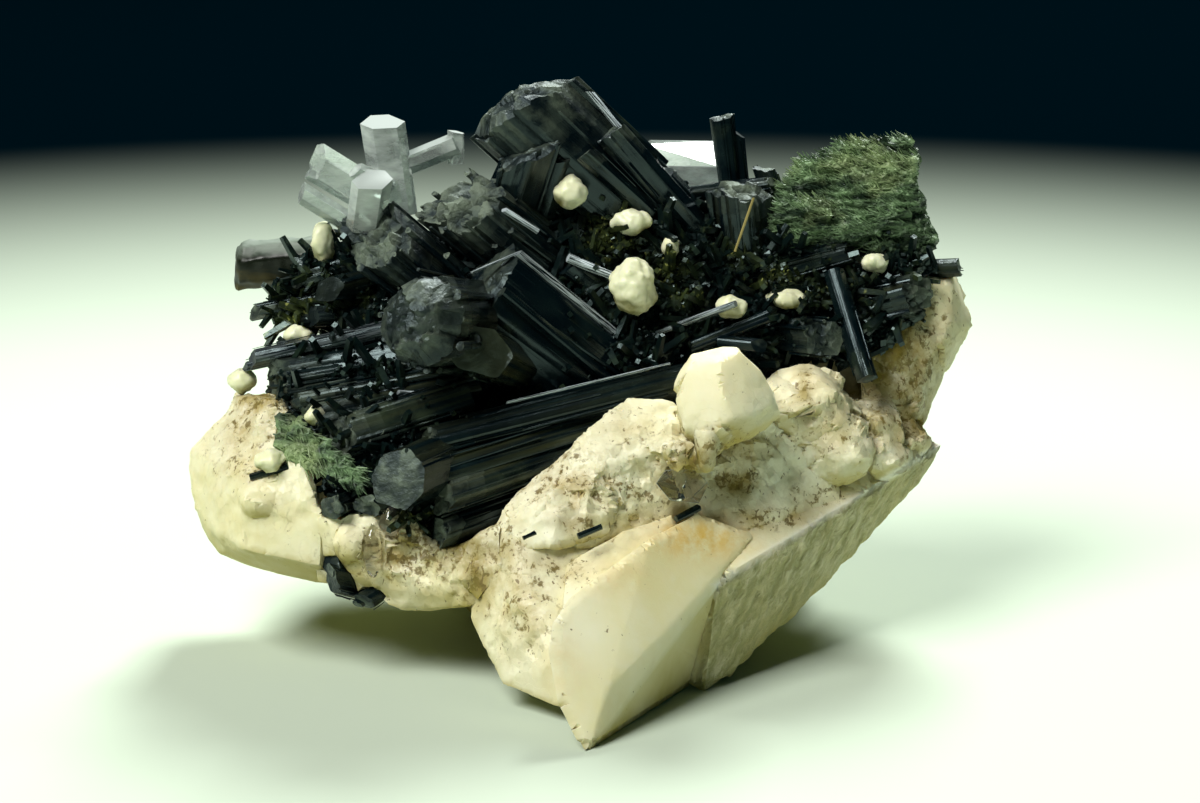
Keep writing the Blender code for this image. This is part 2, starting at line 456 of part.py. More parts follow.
def crystal_hulls(name, crystal):
    """Point lists of a crystal: its main rod and the side rods that grew along it."""
    foot = at(*crystal.foot)
    tip = at(*crystal.tip)
    axis = (tip - foot).normalized()
    face = VIEW_RIGHT * crystal.face[0] + VIEW_UP * crystal.face[1] - VIEW_BACK * crystal.face[2]
    face.normalize()
    if face.dot(axis) < LEAST_FACING:
        face = (face + axis * (TURNED_FACING - face.dot(axis))).normalized()
    across = axis.cross(VIEW_BACK)
    if across.length < 0.2:
        across = axis.cross(VIEW_UP)
    across.normalize()
    inward = axis.cross(across)
    side = across * crystal.wide * MM
    depth = inward * crystal.thick * MM
    seed = seed_of(name)
    hulls = []
    main_share = MAIN_ROD if crystal.ribs else 1.0
    bulge = crystal.bulge if crystal.wide > WIDE_CRYSTAL else 0.0
    hulls.append(rod_points(
        foot, tip, side * main_share, depth * main_share, face, crystal.sides, seed, bulge
    ))
    dice = random.Random(seed + 1)
    turn = dice.uniform(0.0, math.tau)
    for number in range(crystal.ribs):
        angle = turn + math.tau * number / crystal.ribs + dice.uniform(-0.3, 0.3)
        share = dice.uniform(0.42, 0.55)
        shift = side * math.cos(angle) * (1.0 - share) + depth * math.sin(angle) * (1.0 - share)
        lag = axis * (-shift.dot(face) / axis.dot(face)) + axis * dice.uniform(-1.1, 0.5) * MM
        rib = rod_points(
            foot + shift, tip + shift + lag, side * share, depth * share, face, 6,
            seed + 7 + number,
        )
        hulls.append(rib)
    return hulls


def back_hulls(name, ends):
    """A crystal of the back: ends straight from the middle point, and its radius."""
    foot = spot(*ends[0])
    tip = spot(*ends[1])
    axis = (tip - foot).normalized()
    side = axis.orthogonal().normalized() * ends[2] * MM
    depth = axis.cross(side)
    seed = seed_of(name)
    face = (axis + side.normalized() * 0.35).normalized()
    hulls = [rod_points(foot, tip, side, depth, face, 6, seed)]
    dice = random.Random(seed)
    for number in range(2):
        angle = math.tau * number / 2 + dice.uniform(0.0, 1.5)
        shift = (side * math.cos(angle) + depth * math.sin(angle)) * 0.6
        lag = axis * dice.uniform(-4.0, -1.0) * MM
        hulls.append(rod_points(
            foot + shift, tip + shift + lag, side * 0.5, depth * 0.5, axis, 6, seed + number
        ))
    return hulls


def needle_hull(ends):
    foot = at(*ends[0])
    tip = at(*ends[1])
    axis = (tip - foot).normalized()
    side = axis.cross(VIEW_BACK).normalized() * ends[2] * MM
    depth = axis.cross(side)
    points = []
    for number in range(6):
        angle = math.tau * number / 6
        offset = side * math.cos(angle) + depth * math.sin(angle)
        points.append(foot + offset)
        points.append(tip + offset)
    return points


def lump_points(middle, half_sizes, uneven, detail=2):
    """Corners of an uneven ball, half sizes across the view, up it and along it."""
    ball = bmesh.new()
    bmesh.ops.create_icosphere(ball, subdivisions=detail, radius=1.0)
    points = []
    for corner in ball.verts:
        way = corner.co.normalized()
        swell = 1.0 + uneven * noise.noise(way * 1.9 + middle * 700.0) * 2.0
        points.append(
            middle
            + VIEW_RIGHT * way.x * half_sizes[0] * swell * MM
            + VIEW_UP * way.y * half_sizes[1] * swell * MM
            + VIEW_BACK * way.z * half_sizes[2] * swell * MM
        )
    ball.free()
    return points


def crystals_hulls(table):
    hulls = []
    for name, crystal in table.items():
        hulls.extend(crystal_hulls(name, crystal))
    return hulls


def cluster_hulls():
    hulls = [seen(CORE_FRONT) + straight(CORE_BACK)]
    hulls.extend(crystals_hulls(TOURMALINE))
    for name, ends in BACK_TOURMALINE.items():
        hulls.extend(back_hulls(name, ends))
    return hulls


def matrix_hulls():
    hulls = [seen(points) for points in MATRIX_FRONT.values()]
    hulls.extend(straight(points) for points in MATRIX_BACK.values())
    for middle, half_sizes, uneven in MATRIX_LUMPS.values():
        hulls.append(lump_points(at(*middle), half_sizes, uneven))
    for middle, half_sizes in MATRIX_LUMPS_BACK.values():
        hulls.append(lump_points(spot(*middle), half_sizes, LUMP_UNEVEN))
    return hulls


def box_of(points):
    low = Vector([min(point[axis] for point in points) for axis in range(3)])
    high = Vector([max(point[axis] for point in points) for axis in range(3)])
    return low, high


def boxes_meet(first, second):
    room = GAP * 2.0 * MM
    return all(
        first[0][axis] - room < second[1][axis] and second[0][axis] - room < first[1][axis]
        for axis in range(3)
    )


def hull_object(name, points, grow=0.0):
    shape = hull_mesh(points, grow)
    mesh = bpy.data.meshes.new(name)
    shape.to_mesh(mesh)
    shape.free()
    return bpy.data.objects.new(name, mesh)


def helper_group(name, hulls, grow=0.0):
    """A collection of hidden solids that a Boolean joins or cuts away."""
    group = bpy.data.collections.new(name)
    bpy.context.scene.collection.children.link(group)
    for number, points in enumerate(hulls):
        helper = hull_object(f"{name}_{number}", points, grow)
        helper.hide_render = True
        helper.display_type = "WIRE"
        group.objects.link(helper)
    return group


def drop_group(group):
    for helper in list(group.objects):
        bpy.data.objects.remove(helper, do_unlink=True)
    bpy.data.collections.remove(group)


def shape_with(piece, operation, **operand):
    """Applies one Boolean to the piece and tidies what it leaves."""
    modifier = piece.modifiers.new(operation.lower(), "BOOLEAN")
    modifier.operation = operation
    modifier.solver = "EXACT"
    modifier.operand_type = "COLLECTION" if "collection" in operand else "OBJECT"
    for field, value in operand.items():
        setattr(modifier, field, value)
    ready = piece.evaluated_get(bpy.context.evaluated_depsgraph_get())
    shaped = bpy.data.meshes.new_from_object(ready)
    piece.modifiers.clear()
    piece.data = shaped
    tidy_mesh(shaped)


def tidy_mesh(mesh):
    """Joins flat neighbours and close corners, as far as the mesh stays closed."""
    for flatten, distance in TIDY_STEPS:
        shape = bmesh.new()
        shape.from_mesh(mesh)
        bmesh.ops.triangulate(shape, faces=shape.faces[:])
        bmesh.ops.remove_doubles(shape, verts=shape.verts[:], dist=distance)
        bmesh.ops.dissolve_degenerate(shape, edges=shape.edges[:], dist=distance)
        if flatten:
            bmesh.ops.dissolve_limit(
                shape, angle_limit=FLAT_ANGLE, verts=shape.verts[:], edges=shape.edges[:]
            )
        bmesh.ops.triangulate(shape, faces=shape.faces[:])
        closed = all(len(edge.link_faces) == 2 for edge in shape.edges)
        if closed:
            shape.to_mesh(mesh)
        shape.free()
        if closed:
            return


def keep_main_body(mesh):
    """Deletes the crumbs that a cut leaves, so that one closed body stays."""
    shape = bmesh.new()
    shape.from_mesh(mesh)
    bmesh.ops.triangulate(shape, faces=shape.faces[:])
    left = set(shape.faces)
    bodies = []
    for first in shape.faces:
        if first not in left:
            continue
        left.remove(first)
        body = [first]
        for face in body:
            for edge in face.edges:
                fresh = [other for other in edge.link_faces if other in left]
                left.difference_update(fresh)
                body.extend(fresh)
        bodies.append(body)
    bodies.sort(key=body_volume)
    crumbs = [face for body in bodies[:-1] for face in body]
    bmesh.ops.delete(shape, geom=crumbs, context="FACES")
    shape.to_mesh(mesh)
    shape.free()


def body_volume(faces):
    total = 0.0
    for face in faces:
        first, second, third = (corner.co for corner in face.verts)
        total += first.dot(second.cross(third)) / 6.0
    return total


def joined_object(name, hulls, grow=0.0):
    """One object whose solid is all the hulls joined."""
    piece = hull_object(name, hulls[0], grow)
    bpy.context.scene.collection.objects.link(piece)
    if len(hulls) > 1:
        group = helper_group(f"{name}_joined", hulls[1:], grow)
        shape_with(piece, "UNION", collection=group)
        drop_group(group)
    return piece


def make_piece(name, hulls, finish, earlier):
    """One piece: its hulls joined, less the room that earlier pieces take."""
    piece = joined_object(name, hulls)
    boxes = [box_of(points) for points in hulls]
    near = [
        points for points in earlier
        if any(boxes_meet(box_of(points), box) for box in boxes)
    ]
    if near:
        room = joined_object(f"{name}_room", near, GAP * MM)
        shape_with(piece, "DIFFERENCE", object=room)
        bpy.data.objects.remove(room, do_unlink=True)
    keep_main_body(piece.data)
    piece.data.materials.clear()
    piece.data.materials.append(finish)
    return piece


def plan():
    """Every piece in the order in which they leave room for each other."""
    pieces = []
    for name, ends in NEEDLES.items():
        pieces.append((name, [needle_hull(ends)], "schorl"))
    for name, (middle, half_sizes) in BLOBS.items():
        finish = "quartz" if name.startswith("glass") else "white"
        pieces.append((name, [lump_points(at(*middle), half_sizes, LUMP_UNEVEN)], finish))
    pieces.append(("quartz_clear", [seen(QUARTZ_CLEAR)], "quartz"))
    pieces.append(("quartz_pale_back", [seen(QUARTZ_PALE)], "quartz"))
    pieces.append(("quartz_group", crystals_hulls(QUARTZ_GROUP), "quartz"))
    pieces.append(("quartz_smoky", crystals_hulls(QUARTZ_SMOKY), "smoky"))
    pieces.append(("tourmaline_blade", crystals_hulls(BLADE), "schorl"))
    pieces.append(("tourmaline_right_end", crystals_hulls(RIGHT_END), "schorl"))
    pieces.append(("tourmaline_lower_blocks", crystals_hulls(LOWER_BLOCKS), "schorl"))
    pieces.append(("tourmaline_lower_chips", crystals_hulls(LOWER_CHIPS), "schorl"))
    pieces.append(("tourmaline_cluster", cluster_hulls(), "schorl"))
    pieces.append(("green_mass_right", [seen(points) for points in GREEN_RIGHT], "green"))
    pieces.append(("green_mass_left", [seen(points) for points in GREEN_LEFT], "green"))
    pieces.append(("feldspar_matrix", matrix_hulls(), "feldspar"))
    return pieces


def main():
    clear_scene()
    materials = {finish: make_material(finish) for finish in FINISH}
    earlier = []
    for name, hulls, finish in plan():
        make_piece(name, hulls, materials[finish], earlier)
        earlier.extend(hulls)


main()
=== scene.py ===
"""Black tourmaline specimen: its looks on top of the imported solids.

Lengths in the tables are millimetres. A place that shows from the front is written as it is
seen there: across, up and back from the middle point, looking down by LOOK_DOWN.
"""

import math
import random
from collections import namedtuple

import bmesh
import bpy
import numpy as np
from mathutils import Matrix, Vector, kdtree, noise
from mathutils.geometry import delaunay_2d_cdt


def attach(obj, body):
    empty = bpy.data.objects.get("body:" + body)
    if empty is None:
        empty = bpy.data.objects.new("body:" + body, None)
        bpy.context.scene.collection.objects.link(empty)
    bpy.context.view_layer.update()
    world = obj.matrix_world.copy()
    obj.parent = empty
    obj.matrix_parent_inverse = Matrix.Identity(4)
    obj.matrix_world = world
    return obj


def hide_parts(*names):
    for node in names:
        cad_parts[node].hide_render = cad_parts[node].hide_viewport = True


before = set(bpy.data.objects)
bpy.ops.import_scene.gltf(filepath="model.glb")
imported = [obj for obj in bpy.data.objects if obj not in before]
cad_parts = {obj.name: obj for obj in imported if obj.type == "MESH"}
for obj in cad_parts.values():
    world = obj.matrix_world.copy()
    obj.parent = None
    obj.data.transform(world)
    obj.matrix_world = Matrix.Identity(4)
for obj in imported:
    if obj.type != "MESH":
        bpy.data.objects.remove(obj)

bl_info = {
    "name": "Black tourmaline specimen",
    "version": (1, 0, 0),
    "blender": (4, 5, 0),
    "location": "3D View > Sidebar > Specimen",
    "description": "Crystals, matrix and stage of a black tourmaline specimen",
    "category": "Object",
}

MM = 0.001

# The view from the front: how far it looks down, the eye's distance from the middle point of
# the specimen, and where that point lies from the origin
LOOK_DOWN = math.radians(15.0)
EYE_DISTANCE = 267.0
TABLE_BELOW_MIDDLE = 25.37
MIDDLE_FROM_ORIGIN = (1.33, 0.11)
VIEW_RIGHT = Vector((1.0, 0.0, 0.0))
VIEW_UP = Vector((0.0, math.sin(LOOK_DOWN), math.cos(LOOK_DOWN)))
VIEW_BACK = Vector((0.0, math.cos(LOOK_DOWN), -math.sin(LOOK_DOWN)))
MIDDLE = Vector((*MIDDLE_FROM_ORIGIN, TABLE_BELOW_MIDDLE)) * MM

# Quartz faces that look up more than this are frosted pale, partly frost and partly a painted
# highlight on the tops; crystals with a larger half width have a bulging end, and those with
# a rougher end are worn beside it
FROSTED_ABOVE = 0.85
BULGE_ABOVE = 2.6
WORN_ABOVE = 0.55

# The feldspar: how far back its hidden rear starts, the height of the band that stays flat to
# rest on, the size of its blocks and of its small chips, and how many triangles it keeps
REAR_FROM = 12.0
REST_BAND = 0.8
BLOCK_SIZE = 4.2
CHIP_SIZE = 1.5
FELDSPAR_TRIANGLES = 188000

# The upper edge of the slab's ribbed side as seen: its left end and how steeply it climbs
SLAB_EDGE_LEFT = 11.6
SLAB_EDGE_UP = -18.6
SLAB_CLIMB = 0.624

# How strongly the crystals bend light
SCHORL_IOR = 1.64
QUARTZ_IOR = 1.54

# The floor: its width, and how far out its painted pool of light starts and ends to fall
# into the dark, in metres
FLOOR_WIDTH = 60.0
FLOOR_PALE_TO = 0.10
FLOOR_DARK_FROM = 0.33

# Crystals: foot and tip as seen, half width across the view, half thickness along it, the
# way the end face looks (right, up, towards the viewer), sides, side rods, how rough the
# end is, how olive the crystal is (3 is straw yellow) and splinters grown along it; then how
# far the end bulges, how strongly a pale streaky reflection is painted on its flanks, and
# how pale its end is
Crystal = namedtuple(
    "Crystal", "foot tip wide thick face sides ribs rough olive splinters bulge gleam pale",
    defaults=(0.12, 0.0, 0.0),
)

UPPER = {
    "crown": Crystal(
        (9.4, 14, 10), (-7.7, 29.6, 3), 6.3, 4.8, (-0.5, 0.85, 0.1), 8, 1, 0.7, 0, 7, bulge=0.36,
    ),
    "crown_strip": Crystal(
        (5.4, 23.2, 2.2), (-1.0, 31.0, 0.6), 0.5, 0.5, (0, 1, 0), 4, 0, 0.2, 0, 0, gleam=0.9,
    ),
    "upper_gleam": Crystal(
        (-6.2, 17.0, -0.6), (-9.6, 19.2, -1.4), 0.42, 0.5, (-0.5, 0.5, 0.5), 4, 0, 0.1, 0, 0, gleam=1,
    ),
    "upper_pale": Crystal(
        (-9.5, 17.5, 5), (-7, 25.2, 0.5), 3.1, 2.6, (-0.35, 0.8, 0.5), 6, 1, 0.5, 0.1, 6,
    ),
    "upper_dark": Crystal((-6, 18, 5), (-3.8, 24.8, 1.5), 1.5, 1.6, (0.0, 0.8, 0.5), 6, 0, 0.5, 0, 4),
    "slim_front": Crystal((10, 17, 6), (1, 27, 0.5), 1.8, 1.8, (-0.6, 0.75, 0.1), 6, 1, 0.6, 0, 4),
    "slim_stub": Crystal((5, 19, 4), (-1.5, 24.9, -0.5), 1.2, 1.2, (-0.6, 0.75, 0.1), 6, 0, 0.6, 0, 3),
    "slim_right": Crystal((11, 17.5, 9), (5.9, 22.8, 5), 1.5, 1.6, (-0.4, 0.7, 0.4), 6, 0, 0.4, 0, 4),
    "spire": Crystal((13.1, 20.5, 9), (12.1, 28.6, 8), 1.35, 1.3, (-0.2, 0.9, 0.3), 6, 0, 0.5, 0, 5),
    "spire_side": Crystal((14.4, 20.5, 9.5), (13.7, 27, 9), 1.0, 1.0, (0.5, 0.8, 0.2), 5, 0, 0.5, 0, 3),
    "straw_needle": Crystal(
        (13.5, 15.0, 1.2), (15.4, 20.4, 0.8), 0.24, 0.24, (0, 1, 0), 4, 0, 0.3, 3.0, 0,
    ),
    "dome_mass": Crystal(
        (15, 11, 9), (13.8, 21.2, 5.5), 3.9, 3.0, (0.1, 0.9, 0.35), 7, 2, 0.9, 0.2, 10, bulge=0.3,
    ),
    "dome": Crystal((17.6, 20, 10), (16.4, 23.5, 9), 1.4, 1.3, (0.1, 0.9, 0.2), 6, 0, 0.8, 0.2, 4),
    "plate": Crystal((8.8, 20.6, 8), (17.4, 21.7, 7), 1.0, 1.7, (0.8, 0.3, 0.4), 5, 1, 0.6, 0.2, 6),
}

MIDDLE_ONES = {
    "middle_giant": Crystal(
        (6, -3, 7), (-12.2, 11.2, -1.5), 6.6, 5.5, (-0.7, 0.5, 0.4), 6, 1, 0.35, 0, 14,
    ),
    "strip": Crystal(
        (4.2, 4.6, 2.3), (-8.3, 14.9, -3.7), 0.65, 0.6, (-0.5, 0.6, 0.3), 4, 0, 0.4, 0, 3, gleam=0.55,
    ),
    "strip_edge": Crystal(
        (-8.2, 14.9, -3.6), (-12.9, 12.9, -4.3), 0.22, 0.4, (-0.8, -0.2, 0.4), 4, 0, 1, 0, 2, gleam=0.7,
    ),
    "ledge_gleam": Crystal(
        (1.5, 12.4, 0.1), (-3.2, 14.4, -0.5), 0.6, 0.5, (-0.7, 0.3, 0.3), 4, 0, 0, 0, 0, gleam=1,
    ),
    "middle_ledge": Crystal((9, 5, 7), (-3.4, 13.8, 1.5), 1.7, 2.2, (-0.5, 0.6, 0.3), 6, 0, 0.1, 0, 5),
    "rough_right": Crystal(
        (-3, 11, 7), (-14, 20.2, 0.5), 4.3, 4.2, (-0.3, 0.6, 0.6), 7, 3, 1.0, 0.1, 16,
    ),
    "rough_left": Crystal(
        (-10, 7, 6), (-22.4, 16.6, -0.5), 3.9, 4.0, (-0.5, 0.4, 0.6), 7, 3, 1.0, 0.1, 16,
    ),
    "rough_far": Crystal((-18, 13, 5), (-25.1, 17.6, 1), 1.7, 1.8, (-0.4, 0.3, 0.8), 6, 1, 0.9, 0.1, 5),
    "stub": Crystal(
        (-11.5, 7.5, 2), (-18.0, 8, -11.5), 4.9, 4.9, (-0.4, 0.1, 1.0), 8, 2, 0.6, 0.2, 12, bulge=0.45,
    ),
    "stub_facet": Crystal(
        (-8, 3, 0), (-12.2, 5.2, -9.5), 2.6, 2.7, (0.35, -0.1, 1.0), 6, 0, 0.05, 0.8, 2, pale=0.2,
    ),
    "right_long": Crystal((11, 11, 6), (25.5, 15, 6), 1.7, 2.0, (0.8, 0.3, 0.4), 6, 2, 0.6, 0.2, 14),
    "right_block": Crystal(
        (23.5, 8.6, 8), (32.1, 10.8, 5.5), 2.5, 2.6, (0.8, 0.1, 0.7), 5, 1, 0.7, 0.4, 10,
    ),
    "thin_bright": Crystal(
        (4.5, 6.4, 1), (13.6, 9.8, -1), 0.45, 0.6, (0.8, 0.2, 0.4), 5, 0, 0.2, 0, 2, gleam=0.5,
    ),
    "thin_low": Crystal((9, 5.4, 1), (17.5, 8.8, 1), 0.9, 1.0, (0.8, 0.2, 0.4), 5, 1, 0.4, 0.1, 5),
    "thin_end": Crystal((12, 6, 0), (16, 5.6, -2), 0.8, 0.9, (0.5, 0.1, 0.8), 5, 0, 0.3, 0, 3),
    "right_mid": Crystal((16, 7, 6), (22.6, 6.2, 1), 2.2, 2.2, (0.4, 0.0, 0.9), 5, 1, 0.7, 0.1, 10),
}

LEFT_ONES = {
    "stack_bright": Crystal(
        (-21, 7.3, -1), (-35, 4.2, 2), 1.2, 1.5, (-0.8, 0.2, 0.4), 6, 1, 0.6, 0, 10, gleam=0.1,
    ),
    "stack_gleam": Crystal(
        (-15, 0.5, -2.8), (-20.2, 0.9, -4.2), 0.4, 0.5, (-0.7, 0.2, 0.4), 4, 0, 0, 0, 0, gleam=0.8,
    ),
    "lying_line": Crystal(
        (7, 3.8, -3.9), (-9.3, -0.1, -6.5), 0.22, 0.3, (-0.8, 0, 0.4), 4, 0, 0, 0, 0, gleam=0.8,
    ),
    "stack_main": Crystal(
        (-17, 5, -1), (-32.8, 2.3, 0.5), 2.1, 2.4, (-0.7, -0.2, 0.5), 6, 1, 0.8, 0.1, 14,
    ),
    "stack_third": Crystal(
        (-14, 3.3, -1.5), (-31.6, 0, -1), 1.6, 2.0, (-0.8, -0.2, 0.4), 6, 1, 0.8, 0.3, 12,
    ),
    "stack_fourth": Crystal(
        (-12, 1.8, -2), (-29.4, -1.9, -3), 1.7, 2.0, (-0.8, 0, 0.5), 6, 1, 0.8, 0.4, 12,
    ),
    "stack_facet": Crystal(
        (-13, 0.5, -3), (-26.6, -3.8, -5), 2.4, 2.4, (-0.6, 0.2, 0.8), 6, 1, 0.6, 0.4, 12,
    ),
    "left_ragged": Crystal(
        (-25, 10.8, 3), (-34.8, 8.9, 5), 1.0, 1.2, (-0.8, 0.2, 0.3), 6, 1, 0.9, 0.4, 10,
    ),
    "left_block": Crystal(
        (-24, 14, 4), (-30.4, 11.9, 4), 1.3, 1.6, (-0.8, 0.1, 0.5), 5, 1, 0.7, 0.2, 8,
    ),
    "left_steps": Crystal(
        (-27, 12.2, 5), (-32.9, 10.8, 6), 0.9, 1.2, (-0.7, 0.5, 0.4), 5, 0, 0.7, 0.2, 5,
    ),
    "left_facet": Crystal(
        (-22, 12.5, 4), (-27.2, 11.2, -1), 1.4, 1.4, (-0.1, 0.1, 1.0), 5, 0, 0.1, 0.3, 4,
    ),
    "left_dark": Crystal((-22, 9, 3), (-29.2, 8.6, 2), 1.4, 1.6, (-0.7, 0.0, 0.6), 5, 0, 0.6, 0.1, 6),
    "lying_long": Crystal(
        (8.5, 2.2, -2.5), (-17.4, -4.3, -6.5), 2.0, 2.1, (-0.8, 0, 0.5), 6, 2, 0.5, 0.2, 26,
    ),
    "lying_olive": Crystal(
        (4, -1, -2), (-16.5, -7.2, -8), 2.0, 2.0, (-0.8, 0, 0.5), 6, 2, 0.5, 0.6, 22,
    ),
    "lying_low": Crystal(
        (-1, -4.6, -3), (-16, -9.7, -8.8), 1.8, 2.0, (-0.8, 0, 0.6), 6, 2, 0.6, 0.5, 16,
    ),
    "lying_dark": Crystal(
        (-7, -9.8, -3), (-16.8, -13.4, -7.5), 1.9, 2.2, (-0.7, 0, 0.6), 6, 2, 0.8, 0.1, 14,
    ),
    "end_facet": Crystal(
        (-12, -4.5, -2), (-20.2, -7.8, -11.5), 3.1, 2.7, (-0.3, 0.1, 1), 7, 0, 0.05, 0.3, 6,
        bulge=0.05, pale=0.7,
    ),
    "stack_block": Crystal(
        (-13, 1.5, 1), (-31.5, 2.0, 1.5), 4.0, 3.0, (-0.7, -0.1, 0.6), 6, 3, 0.9, 0.3, 18,
    ),
}

# Crystals of the hidden back: foot and tip straight from the middle point, and the radius
BACK_ONES = {
    "back_left": ((-4, 8, 6), (-13, 23.5, 16.5), 3.4),
    "back_middle": ((2, 8, 6), (5, 26.5, 12.5), 4.2),
    "back_low_left": ((-12, 8, 1), (-27, 19.5, 5), 3.1),
    "back_right": ((10, 9, 6), (19, 24.5, 9.5), 3.2),
    "back_low": ((-5, 9, 0), (-7.5, 27, 3), 3.6),
    "back_top": ((0, 8, 12), (-3.5, 19.5, 23), 2.8),
    "back_far_left": ((-14, 6, 5), (-25, 12, 13), 2.2),
    "back_slim": ((8, 10, 2), (13, 26, 2.5), 1.9),
}

# Crystals that stand by themselves, node by node
LONE_ONES = {
    "tourmaline_blade": {
        "blade": Crystal(
            (23.4, 13, 4), (26.8, 2.1, -0.5), 1.25, 1.0, (0.2, -0.8, 0.3), 6, 0, 0.3, 0, 3,
        ),
    },
    "tourmaline_right_end": {
        "right_end": Crystal(
            (30.5, 13.2, 11), (36.2, 13.4, 9), 1.1, 1.2, (0.9, 0.1, 0.3), 6, 0, 0.8, 0.3, 5,
        ),
    },
    "tourmaline_lower_blocks": {
        "top": Crystal(
            (-23.2, -16.2, -1), (-26.9, -16.4, -6), 1.2, 1.2, (-0.5, 0.1, 0.8), 5, 0, 0.4, 0, 3,
        ),
        "main": Crystal(
            (-22.6, -18.9, -2), (-27, -17.8, -6.5), 1.6, 1.5, (-0.8, -0.3, 0.5), 5, 1, 0.5, 0, 4,
        ),
        "low": Crystal(
            (-21.4, -18.6, -4.5), (-23.9, -20.2, -6), 1.3, 1.3, (-0.4, -0.7, 0.4), 6, 1, 0.7, 0, 3,
        ),
    },
    "tourmaline_lower_chips": {
        "left": Crystal(
            (-24, -9.6, -2), (-27, -10.6, -8), 1.5, 1.8, (-0.5, -0.2, 0.8), 5, 1, 0.8, 0.3, 4,
        ),
        "right": Crystal(
            (-18, -9.8, -4), (-23.5, -10.5, -8), 1.3, 1.4, (-0.4, -0.3, 0.8), 5, 0, 0.8, 0.3, 4,
        ),
    },
}

# Needles in the feldspar: foot and tip as seen, and the radius
NEEDLES = {
    "needle_left": ((-35.0, -7.6, -4.2), (-31.2, -6.5, -4.6), 0.5),
    "needle_mid": ((-7.7, -13.7, -14.2), (-6.4, -13.1, -13.8), 0.36),
    "needle_front": ((-2.2, -13.5, -14.2), (0.2, -12.5, -13.6), 0.45),
    "needle_right": ((7.6, -11.8, -9.9), (9.9, -10.6, -8.6), 0.45),
}

# Corners of the dark mass between the crystals: the front as seen, and the back straight
# from the middle point
CORE_FRONT = [
    (-25, 3, 3), (-23, 13, 5), (-15, 17.5, 6), (-5, 20.5, 7), (3, 21.3, 6), (9, 20.2, 7),
    (17, 18, 7.5), (24, 13.5, 7), (25, 8, 7), (17, 5, 4), (9, 5.5, 1.5), (3, 9, 3),
    (8, 14, 2.5), (1, 17.5, 3), (-3, 1.5, 1), (-14, -5, -2), (-22, -4, -2), (-4, -3, 2),
]
CORE_BACK = [
    (-22, 14, 2), (-20, 15, 9), (-6, 19, 14), (8, 20, 11), (20, 17, 6), (22, 14, -2),
    (4, 18, -4), (-14, 16, -6),
]

# More of the dark mass behind the left crystals, above the lower slab and at the right, as seen
CORE_LEFT = [
    (-32.5, 1.0, 0.5), (-31.5, 5.0, 1.5), (-24.0, 7.0, 0.0), (-14.0, 4.0, -0.5),
    (-11.5, -2.0, -2.0), (-13.0, -11.5, -5.5), (-17.0, -13.6, -6.0), (-22.5, -12.2, -5.8),
    (-27.0, -9.5, -5.4), (-30.0, -5.0, -3.4), (-30.5, -1.0, -2.0), (-20.0, -6.0, -6.4),
    (-28.0, 2.0, 8.0), (-16.0, 2.0, 8.0), (-18.0, -10.0, 2.0), (-26.0, -6.0, 4.0),
]
CORE_UPPER_LEFT = [
    (-33.0, 8.5, 4.5), (-33.5, 11.0, 5.5), (-29.5, 14.5, 4.0), (-24.5, 17.0, 3.0),
    (-20.0, 15.0, 2.0), (-20.0, 9.0, 1.5), (-26.0, 6.5, 1.5), (-31.0, 6.8, 3.5),
    (-28.0, 12.0, 10.0), (-20.0, 14.0, 9.0), (-24.0, 8.0, 8.0),
]
CORE_RIGHT = [
    (16.0, 16.5, 6.5), (23.0, 16.6, 6.5), (30.5, 15.4, 8.0), (33.6, 13.8, 8.6),
    (33.0, 10.6, 7.4), (30.0, 6.0, 6.4), (26.0, 3.2, 4.6), (20.5, 4.6, 2.4), (15.0, 6.4, 1.8),
    (14.0, 11.0, 3.4), (30.0, 12.0, 12.0), (24.0, 14.0, 12.0), (18.0, 8.0, 9.0),
]

# Stains on the feldspar as seen: across, up, half width, half height, strength. The umber
# ones are the darkest, and the orange ones a thin wash
BROWN_SPOTS = [
    (9.0, -5.6, 3.4, 2.2, 1.0), (13.5, -8.2, 3.0, 2.0, 0.9), (17.0, -11.6, 4.5, 1.2, 1.0),
    (-17.0, -13.6, 6.0, 2.2, 1.0), (-33.5, 0.0, 4.2, 2.4, 1.0), (30.5, 6.0, 4.5, 9.0, 1.0),
    (-7.5, -20.0, 3.6, 5.0, 0.7), (-3.0, -8.0, 8.0, 4.0, 0.7), (-12.0, -17.0, 2.4, 4.0, 1.0),
    (24.0, -3.0, 6.0, 3.6, 0.5), (5.0, -9.5, 4.5, 3.0, 0.7), (-35.0, -6.0, 3.0, 2.0, 0.8),
    (-20.0, -16.0, 8.0, 3.2, 0.8), (-36.0, -3.0, 4.0, 5.0, 0.6), (31.5, -1.0, 3.0, 7.0, 0.9),
    (28.5, 3.0, 4.0, 3.0, 1.0), (-5.0, -17.0, 5.0, 2.4, 0.7), (13.0, -4.6, 3.6, 2.4, 0.9),
    (3.0, -3.0, 4.0, 2.4, 0.6), (-9.5, -14.0, 2.4, 4.0, 0.7), (22.0, -9.5, 6.0, 2.0, 0.5),
    (20.5, 1.6, 1.2, 3.0, 0.8), (29.0, -2.0, 3.0, 1.6, 0.8), (-1.0, -12.6, 3.6, 1.6, 0.8),
]
UMBER_SPOTS = [
    (28.5, 4.0, 3.4, 6.0, 1.0), (9.5, -5.5, 1.8, 1.3, 1.0), (-14.0, -14.5, 5.0, 1.3, 0.8),
    (-33.0, 1.0, 2.6, 1.2, 0.8), (13.5, -8.5, 1.6, 1.1, 0.7), (-12.5, -18.0, 1.2, 2.6, 0.8),
    (31.5, 0.0, 2.0, 5.0, 0.8), (20.5, 1.2, 0.7, 2.6, 0.7), (-4.0, -12.0, 2.0, 0.8, 0.4),
]
